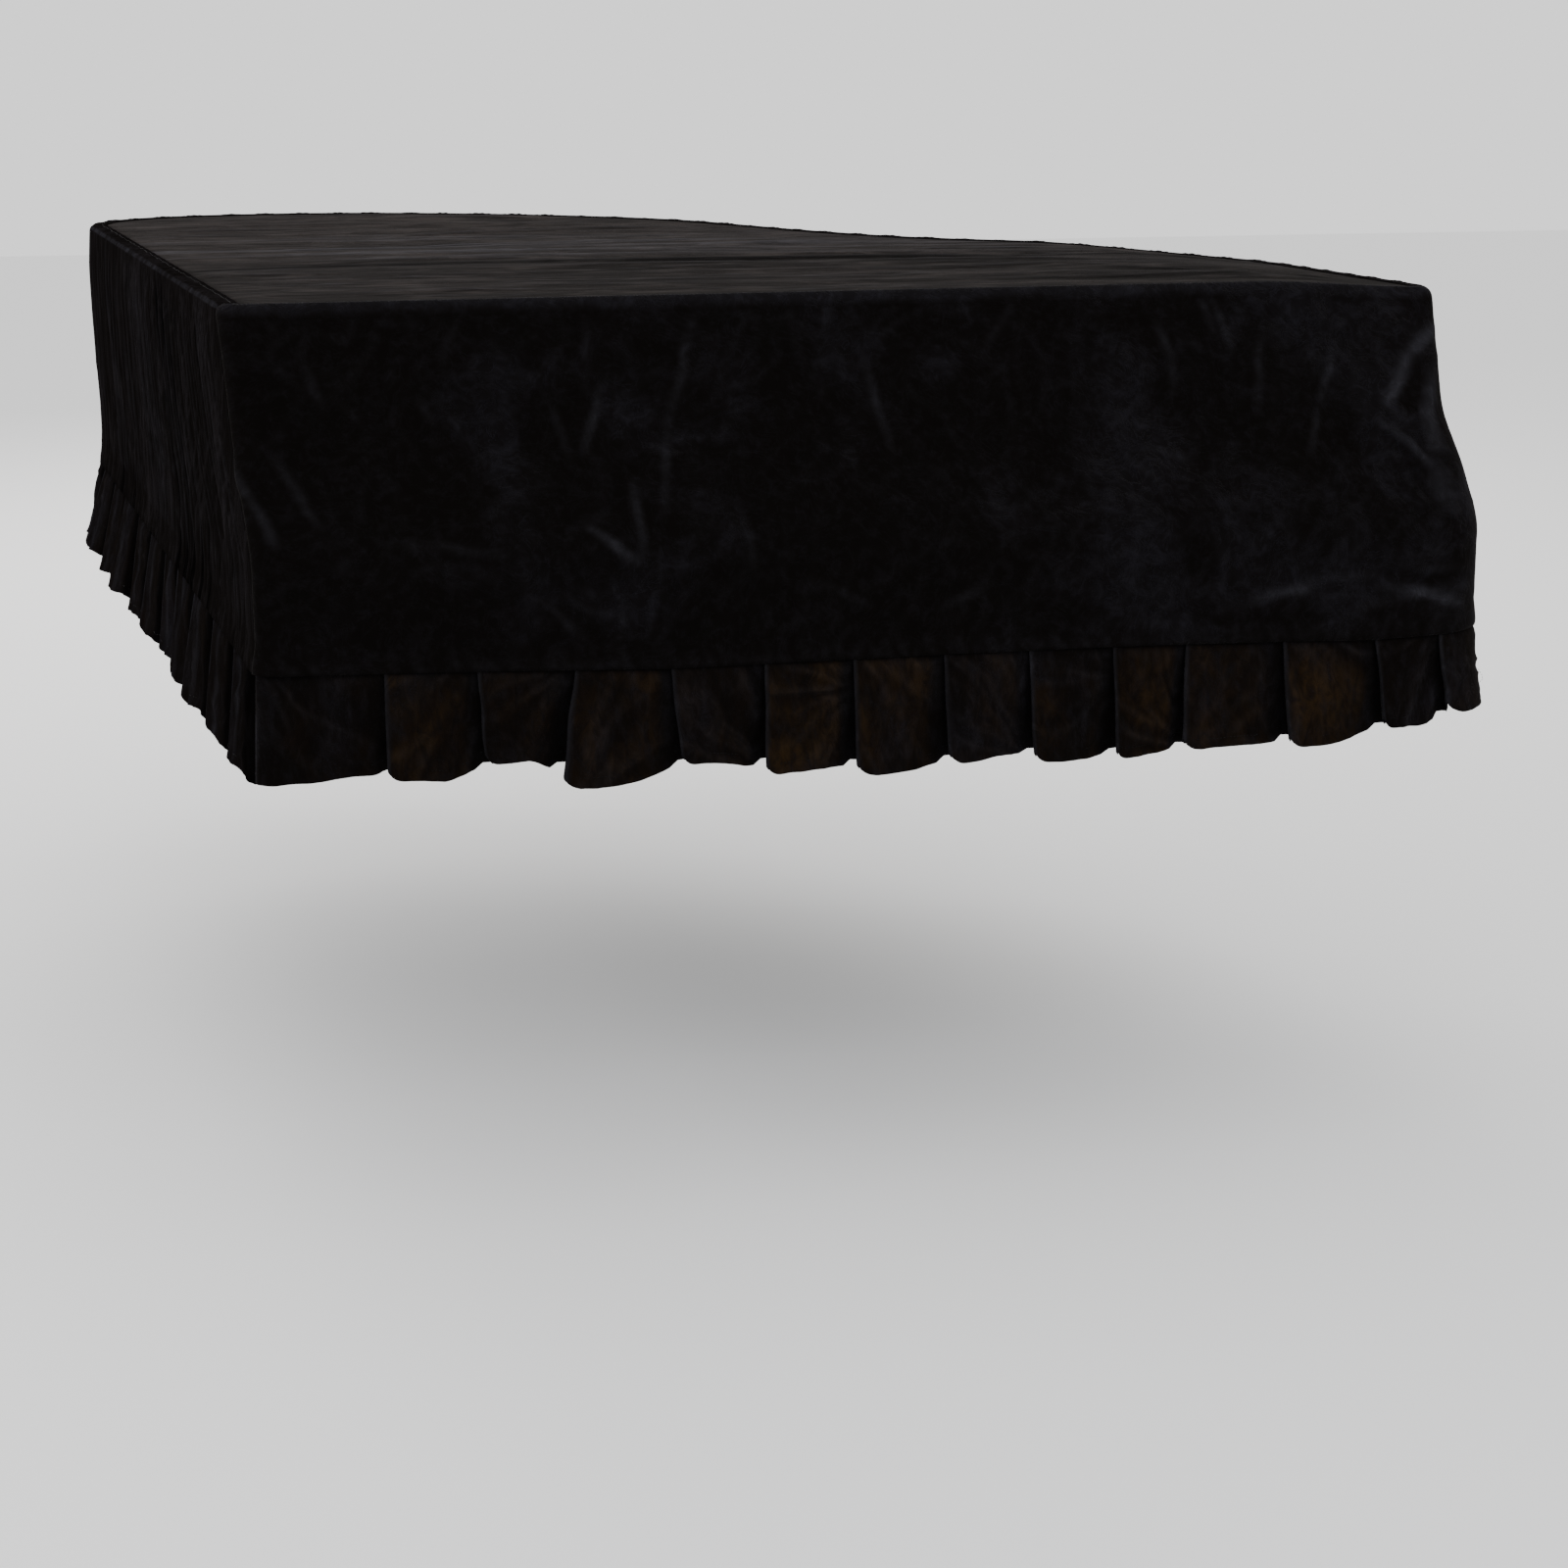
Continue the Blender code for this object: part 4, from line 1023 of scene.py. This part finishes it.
def flounce_points(run, pleats, ends, rows, per_pleat, seed, fold_shine, crest_shine):
    """Points of a pleated strip with its hem's roll and its small wrinkles, with its painted highlights,
    painted backlight glow and pressed patches with painted shade.
    """
    shares = np.linspace(0, 1, rows)
    table = flounce_table(run, pleats, ends, shares, per_pleat)
    along, out, hem, painted_backlight, part = (table[..., k] for k in range(5))
    share = shares[:, None]
    from_joint = eased(np.minimum(along, run.length - along) / 0.03)
    waver = hills(along / 0.05, share * 2.2, seed) * 0.0022 * np.sin(math.pi * share) * from_joint
    inside = eased(part / 0.10) * eased((1.0 - part) / 0.10)
    billow = hills(along / 0.045, share * 1.3, seed + 1) * 0.0050 * share * inside
    folds = drag_lines(along, share, pleats, run.length, seed + 2)
    fan = (folds - 0.45) * 0.0036 * inside
    fan += crumple(along / 0.026 - share * 0.8, share * 3.2, seed + 3) * 0.0012 * inside * eased(share / 0.15)
    roll = 0.0012 * np.exp(-((1 - share) * FLOUNCE_HEIGHT / 0.004) ** 2) - 0.0009 * np.exp(
        -(((1 - share) * FLOUNCE_HEIGHT - 0.013) / 0.003) ** 2)
    relief = billow + fan + roll * inside
    corner = (0.014 * rounding(part / 0.17) + 0.007 * rounding((1 - part) / 0.13)) * from_joint
    ripple = 0.0040 * hills(along / 0.055, 0.0, seed + 4)
    point, outward, seam = run.at(along + waver)
    start = seam - 0.0005
    drop = start + (hem - corner + ripple - start) * share
    plan = point + outward * (out + relief)[..., None]
    points = to_frame(plan[..., 0], plan[..., 1], MIDDLE - drop)
    step = FLOUNCE_HEIGHT / (rows - 1)
    shine = softened(curvature_shine(relief, step, step, 0.0012) * inside ** 2)
    # Painted highlights on the fold edges and on the side pleats' crests
    fold = fold_shine * np.exp(-(part / 0.022) ** 2) * (out > SEAM_LAYER)
    crest = crest_shine * np.exp(-((part - 0.30) / 0.05) ** 2)
    crest = crest * (0.7 + 0.5 * hills(along / 0.05, share * 3.0, seed + 8))
    shine = np.clip((np.maximum(shine, fold) + crest) * eased(share / 0.05), 0, 1)
    blotches = np.clip(0.62 + 0.55 * hills(along / 0.050, share * 2.0, seed + 5), 0.1, 1.1)
    veins = crumple(along / 0.018 + share * 1.5, share * 3.6, seed + 9, 6.0)
    # Painted backlight glow, in blotches and along the soft folds, weaker in the veins
    glow = painted_backlight * blotches * (0.30 + 0.80 * folds) * (1 - 0.6 * veins) * eased(share / 0.06)
    pressed = 0.10 * hills(along / 0.045, share * 1.5, seed + 6)
    # Painted shade on the back half of each side pleat
    pressed = pressed - 0.40 * (crest_shine > 0) * eased((part - 0.45) / 0.3)
    return points, shine, glow, pressed


# Stitching

def stitch_tree(material):
    """Geometry Nodes: short threads at an even pitch along a path."""
    found = bpy.data.node_groups.get("thread_stitches")
    if found:
        return found
    tree = bpy.data.node_groups.new("thread_stitches", "GeometryNodeTree")
    tree.interface.new_socket("Geometry", in_out="INPUT", socket_type="NodeSocketGeometry")
    for label, default in (("Stitch Pitch", 0.0045), ("Stitch Length", 0.0032), ("Thread Radius", 0.0003)):
        socket = tree.interface.new_socket(label, in_out="INPUT", socket_type="NodeSocketFloat")
        socket.default_value = default
        socket.min_value = 0.0
    tree.interface.new_socket("Geometry", in_out="OUTPUT", socket_type="NodeSocketGeometry")
    given, made = tree.nodes.new("NodeGroupInput"), tree.nodes.new("NodeGroupOutput")
    path = tree.nodes.new("GeometryNodeMeshToCurve")
    spots = tree.nodes.new("GeometryNodeCurveToPoints")
    spots.mode = "LENGTH"
    thread = tree.nodes.new("GeometryNodeMeshUVSphere")
    thread.inputs["Segments"].default_value = 5
    thread.inputs["Rings"].default_value = 4
    thread.inputs["Radius"].default_value = 1.0
    size = tree.nodes.new("ShaderNodeCombineXYZ")
    half = tree.nodes.new("ShaderNodeMath")
    half.operation = "MULTIPLY"
    half.inputs[1].default_value = 0.5
    uneven = tree.nodes.new("FunctionNodeRandomValue")
    uneven.data_type = "FLOAT"
    uneven.inputs[2].default_value = 0.85
    uneven.inputs[3].default_value = 1.1
    uneven.inputs["Seed"].default_value = 4
    long = tree.nodes.new("ShaderNodeMath")
    long.operation = "MULTIPLY"
    copies = tree.nodes.new("GeometryNodeInstanceOnPoints")
    real = tree.nodes.new("GeometryNodeRealizeInstances")
    finish = tree.nodes.new("GeometryNodeSetMaterial")
    finish.inputs["Material"].default_value = material
    link_chain(
        tree,
        (given.outputs["Geometry"], path.inputs["Mesh"]),
        (path.outputs["Curve"], spots.inputs["Curve"]),
        (given.outputs["Stitch Pitch"], spots.inputs["Length"]),
        (given.outputs["Stitch Length"], half.inputs[0]),
        (half.outputs[0], long.inputs[0]),
        (uneven.outputs[1], long.inputs[1]),
        (given.outputs["Thread Radius"], size.inputs["X"]),
        (given.outputs["Thread Radius"], size.inputs["Y"]),
        (long.outputs[0], size.inputs["Z"]),
        (spots.outputs["Points"], copies.inputs["Points"]),
        (thread.outputs["Mesh"], copies.inputs["Instance"]),
        (spots.outputs["Rotation"], copies.inputs["Rotation"]),
        (size.outputs[0], copies.inputs["Scale"]),
        (copies.outputs["Instances"], real.inputs["Geometry"]),
        (real.outputs["Geometry"], finish.inputs["Geometry"]),
        (finish.outputs["Geometry"], made.inputs["Geometry"]),
    )
    return tree


def stitch_along(name, path, material, sizes):
    """A row of stitches along a path, as a plain mesh that rides with the cover."""
    mesh = bpy.data.meshes.new(name + "_path")
    mesh.from_pydata(path.tolist(), [(i, i + 1) for i in range(len(path) - 1)], [])
    guide = bpy.data.objects.new(name + "_path", mesh)
    bpy.context.scene.collection.objects.link(guide)
    modifier = guide.modifiers.new("stitches", "NODES")
    tree = stitch_tree(material)
    modifier.node_group = tree
    known = {item.name: item.identifier for item in tree.interface.items_tree if item.in_out == "INPUT"}
    modifier[known["Stitch Pitch"]] = sizes.stitch_pitch
    modifier[known["Stitch Length"]] = sizes.stitch_pitch * 0.72
    modifier[known["Thread Radius"]] = sizes.thread_radius
    graph = bpy.context.evaluated_depsgraph_get()
    made = bpy.data.meshes.new_from_object(guide.evaluated_get(graph))
    made.shade_smooth()
    bpy.data.objects.remove(guide, do_unlink=True)
    if not made.polygons:
        raise RuntimeError(f"{name}: no stitches were made")
    row = bpy.data.objects.new(name, made)
    bpy.context.scene.collection.objects.link(row)
    if not made.materials:
        made.materials.append(material)
    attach(row, BODY)
    return row


# The add-on

def length_setting(name, description, default, least=0.0):
    """A length in metres in the sidebar."""
    return bpy.props.FloatProperty(
        name=name, description=description, default=default, min=least, unit="LENGTH")


def colour_setting(name, description, default):
    """A colour in the sidebar."""
    return bpy.props.FloatVectorProperty(
        name=name, description=description, default=default, subtype="COLOR", size=3, min=0, max=1)


class PianoCoverSizes(bpy.types.PropertyGroup):
    """Sizes and colours of the cover."""

    cloth_thickness: length_setting("Cloth Thickness", "Thickness of the velvet with its pile", 0.0012, 0.0005)
    cloth_step: length_setting("Cloth Step", "Distance between the front panel's points", 0.0043, 0.003)
    top_step: length_setting("Top Step", "Distance between the top panel's points", 0.0078, 0.005)
    wrinkle_depth: length_setting("Wrinkle Depth", "Depth of the small creases of the front panel", 0.0016)
    gather_pitch: length_setting("Gather Pitch", "Distance from one fine gather to the next", 0.0115, 0.005)
    gather_depth: length_setting("Gather Depth", "Depth of the fine gathers at the side's middle", 0.0029)
    stitch_pitch: length_setting("Stitch Pitch", "Distance from one stitch to the next", 0.0045, 0.002)
    thread_radius: length_setting("Thread Radius", "Radius of the sewing thread", 0.00032, 0.0001)
    deep_colour: colour_setting("Deep Colour", "Velvet where its pile stands up", (0.0029, 0.0024, 0.0022))
    pale_colour: colour_setting("Pale Colour", "Velvet where its pile is pressed", (0.0074, 0.0068, 0.0084))
    side_colour: colour_setting("Side Colour", "Pressed pile on the side's gathers", (0.0080, 0.0069, 0.0074))
    # Colour of the painted highlights along creases and folds, where the pile is also rubbed
    rubbed_and_highlight_colour: colour_setting("Rubbed And Highlight Colour", "Velvet along its creases", (0.022, 0.0215, 0.026))
    # The top's colour is paler than the front's, partly as painted sheen of its flat angle to the view
    top_colour_with_sheen: colour_setting("Top Colour", "The top's pile, brushed to the tail", (0.0235, 0.0197, 0.0186))
    # Colour of the painted sheen streaks across the top
    top_streak_sheen_colour: colour_setting("Top Streak Colour", "Streaks across the top", (0.042, 0.041, 0.047))
    backlight_colour: colour_setting("Backlight Colour", "One layer with warm light behind", (0.0165, 0.0095, 0.0040))
    sheen_tint: colour_setting("Sheen Tint", "Colour of the sheen at a flat angle", (0.85, 0.80, 0.78))


class PIANO_COVER_OT_panels(bpy.types.Operator):
    """Lay the top panel on the lid and hang the front and gathered side panels from its edges"""

    bl_idname = "piano_cover.panels"
    bl_label = "Top, Front and Side Panels"

    def execute(self, context):
        sizes = context.scene.piano_cover
        rng = random.Random(SEED)
        front, front_pressed, front_shine = front_sheet_points(sizes)
        side, side_pressed, side_shine = side_sheet_points(sizes, rng)
        # One velvet in three copies, their sheen and pale colour set for how the light falls on each panel:
        # the top's as painted sheen, the side's sheen nearly off as painted shade
        front_cloth = velvet(
            "velvet_front", (1.0, 1.0, 1.0), 8.0, 70.0, 0.20, (0.46, 0.74),
            sizes.pale_colour, sizes.rubbed_and_highlight_colour, 0.030, 0.7)
        side_cloth = velvet(
            "velvet_gathered_side", (1.0, 1.0, 0.12), 9.0, 95.0, 0.60, (0.46, 0.76),
            sizes.side_colour, sizes.rubbed_and_highlight_colour, 0.002, 0.6)
        top_cloth = velvet(
            "velvet_top", (0.24, 0.85, 1.0), 9.0, 45.0, 0.55, (0.36, 0.72),
            sizes.top_colour_with_sheen, sizes.top_streak_sheen_colour, 0.036, 0.5)

        mesh = sheet_mesh(
            "front_cloth", front.reshape(-1, 3), grid_faces(*front.shape[:2], False), front_shine,
            np.zeros(front.shape[:2]), front_pressed)
        sheet = place_sheet("front_cloth", mesh, front_cloth, sizes.cloth_thickness, "front_panel")

        mesh = sheet_mesh(
            "side_cloth", side.reshape(-1, 3), grid_faces(*side.shape[:2], True), side_shine,
            np.zeros(side.shape[:2]), side_pressed)
        sheet = place_sheet("side_cloth", mesh, side_cloth, sizes.cloth_thickness, "side_panel")

        points, faces, shine, pressed = top_sheet(sizes, side[0], front[0])
        mesh = sheet_mesh("top_cloth", points, faces, shine, np.zeros(len(points)), pressed)
        sheet = place_sheet("top_cloth", mesh, top_cloth, sizes.cloth_thickness, "top_panel")

        thread = thread_material()
        loop = np.concatenate((side[1], front[1][::-1][1:-1]))
        loop = np.concatenate((loop, loop[:1])) + (0.0, 0.0, sizes.cloth_thickness / 2)
        stitch_along("top_seam_stitches", loop, thread, sizes)
        return {"FINISHED"}


class PIANO_COVER_OT_flounces(bpy.types.Operator):
    """Hang the pleated flounce from the lower edges of the front and side panels, and stitch its hem"""

    bl_idname = "piano_cover.flounces"
    bl_label = "Pleated Flounces"

    def execute(self, context):
        sizes = context.scene.piano_cover
        rng = random.Random(SEED)
        side_gathers(rng)    # the solid's draws for the side come before those for its flounce
        look = ((1.0, 1.0, 0.5), 13.0, 80.0, 0.25, (0.46, 0.74), sizes.pale_colour, sizes.rubbed_and_highlight_colour)
        cloth = velvet("velvet_flounce", *look, 0.024, 0.6)
        # The side flounce gets a shaded copy of the same velvet, its sheen nearly off as painted shade
        side_cloth = velvet("velvet_side_flounce", *look, 0.001, 0.6)
        thread = thread_material()

        run = front_run()
        level = float(between(FRONT_SEAM, LID_WIDTH / 2))
        corner = run.points[0][1] + float(rounded(FRONT_FALL, level))
        start = corner * math.pi / 2 - corner
        pleats = [(start + edge, *rest) for edge, *rest in FRONT_PLEATS]
        parts = flounce_points(run, pleats, (CORNER_PANEL, CHEEK_PANEL), 37, 28, 41, 0.55, 0.0)
        self.hang("front", parts, cloth, thread, sizes, (2.05, 0.135))

        run = side_run()
        pleats = side_pleats(run.length, lambda edge: float(run.at(edge)[2]), rng)
        parts = flounce_points(run, pleats, (CHEEK_PANEL, CORNER_PANEL), 27, 26, 61, 0.80, 0.35)
        self.hang("side", parts, side_cloth, thread, sizes, (5.30, 0.135))
        return {"FINISHED"}

    def hang(self, panel, parts, cloth, thread, sizes, flat):
        """The flounce of one panel with the stitches of its hem."""
        points, *looks = parts
        node = panel + "_flounce"
        name = node + "_cloth"
        mesh = sheet_mesh(name, points.reshape(-1, 3), grid_faces(*points.shape[:2], False), *looks)
        sheet = place_sheet(name, mesh, cloth, sizes.cloth_thickness * 0.8, node)
        rise = points[-2] - points[-1]
        hem = points[-1] + rise * (HEM_STITCHES_UP / np.linalg.norm(rise, axis=1))[:, None]
        travel = np.gradient(hem, axis=0)
        fall = points[-1] - points[-4]
        outward = np.cross(fall, travel)
        outward /= np.maximum(np.linalg.norm(outward, axis=1), 1e-9)[:, None]
        row = stitch_along(node + "_hem_stitches", hem + outward * sizes.cloth_thickness * 0.4, thread, sizes)


def area_light(name, at, to, size, power, colour):
    """A soft rectangular light aimed at a place."""
    light = bpy.data.lights.new(name, "AREA")
    light.shape = "RECTANGLE"
    light.size, light.size_y = size
    light.energy = power
    light.color = colour
    lamp = bpy.data.objects.new(name, light)
    bpy.context.scene.collection.objects.link(lamp)
    lamp.location = at
    lamp.rotation_euler = (Vector(to) - Vector(at)).to_track_quat("-Z", "Y").to_euler()
    return lamp


class PIANO_COVER_OT_stage(bpy.types.Operator):
    """Set up the pale floor, the soft studio light and the camera"""

    bl_idname = "piano_cover.stage"
    bl_label = "Floor, Light and Camera"

    def execute(self, context):
        scene = context.scene
        mesh = bpy.data.meshes.new("studio_floor")
        corners = [(-14, -14), (14, -14), (14, 14), (-14, 14)]
        mesh.from_pydata([(x, y, FLOOR_LEVEL) for x, y in corners], [], [(0, 1, 2, 3)])
        floor = bpy.data.objects.new("studio_floor", mesh)
        scene.collection.objects.link(floor)
        paint = bpy.data.materials.new("pale_floor")
        paint.use_nodes = True
        shader = paint.node_tree.nodes["Principled BSDF"]
        shader.inputs["Base Color"].default_value = (0.86, 0.86, 0.86, 1)
        shader.inputs["Roughness"].default_value = 0.9
        mesh.materials.append(paint)

        world = bpy.data.worlds.new("studio")
        world.use_nodes = True
        world.node_tree.nodes["Background"].inputs["Color"].default_value = (1.0, 1.0, 1.0, 1)
        world.node_tree.nodes["Background"].inputs["Strength"].default_value = 1.3
        scene.world = world
        area_light("back_window", (-0.4, 4.6, 2.6), (0.0, 0.0, 0.0), (4.0, 2.0), 160, (1.0, 0.97, 0.94))
        area_light("left_window", (-4.4, 0.6, 1.4), (-0.6, 0.0, -0.2), (3.0, 2.2), 90, (0.98, 0.98, 1.0))
        area_light("front_softbox", (1.6, -4.2, 2.4), (0.2, -0.5, -0.2), (2.4, 1.8), 55, (0.93, 0.95, 1.0))

        data = bpy.data.cameras.new("studio_camera")
        data.sensor_width = 36.0
        data.lens = CAMERA_LENS
        data.clip_end = 100.0
        camera = bpy.data.objects.new("studio_camera", data)
        scene.collection.objects.link(camera)
        forward = Vector((
            math.sin(CAMERA_TURN) * math.cos(CAMERA_TILT), math.cos(CAMERA_TURN) * math.cos(CAMERA_TILT),
            -math.sin(CAMERA_TILT)))
        level_right = Vector((math.cos(CAMERA_TURN), -math.sin(CAMERA_TURN), 0.0))
        level_up = level_right.cross(forward)
        right = level_right * math.cos(CAMERA_ROLL) + level_up * math.sin(CAMERA_ROLL)
        up = right.cross(forward)
        turn = Matrix((right, up, -forward)).transposed().to_4x4()
        camera.matrix_world = Matrix.Translation(CAMERA_AT) @ turn
        scene.camera = camera
        return {"FINISHED"}


OPERATORS = (PIANO_COVER_OT_panels, PIANO_COVER_OT_flounces, PIANO_COVER_OT_stage)


class PIANO_COVER_PT_sidebar(bpy.types.Panel):
    """The cover's sizes, colours and operators in the sidebar"""

    bl_idname = "PIANO_COVER_PT_sidebar"
    bl_label = "Piano Cover"
    bl_space_type = "VIEW_3D"
    bl_region_type = "UI"
    bl_category = "Piano Cover"

    def draw(self, context):
        for name in PianoCoverSizes.__annotations__:
            self.layout.prop(context.scene.piano_cover, name)
        for operator in OPERATORS:
            self.layout.operator(operator.bl_idname)


CLASSES = (PianoCoverSizes, *OPERATORS, PIANO_COVER_PT_sidebar)


def register():
    for item in CLASSES:
        bpy.utils.register_class(item)
    bpy.types.Scene.piano_cover = bpy.props.PointerProperty(type=PianoCoverSizes)


def unregister():
    del bpy.types.Scene.piano_cover
    for item in reversed(CLASSES):
        bpy.utils.unregister_class(item)


def main():
    register()
    bpy.ops.piano_cover.panels()
    bpy.ops.piano_cover.flounces()
    bpy.ops.piano_cover.stage()


if __name__ == "__main__":
    main()
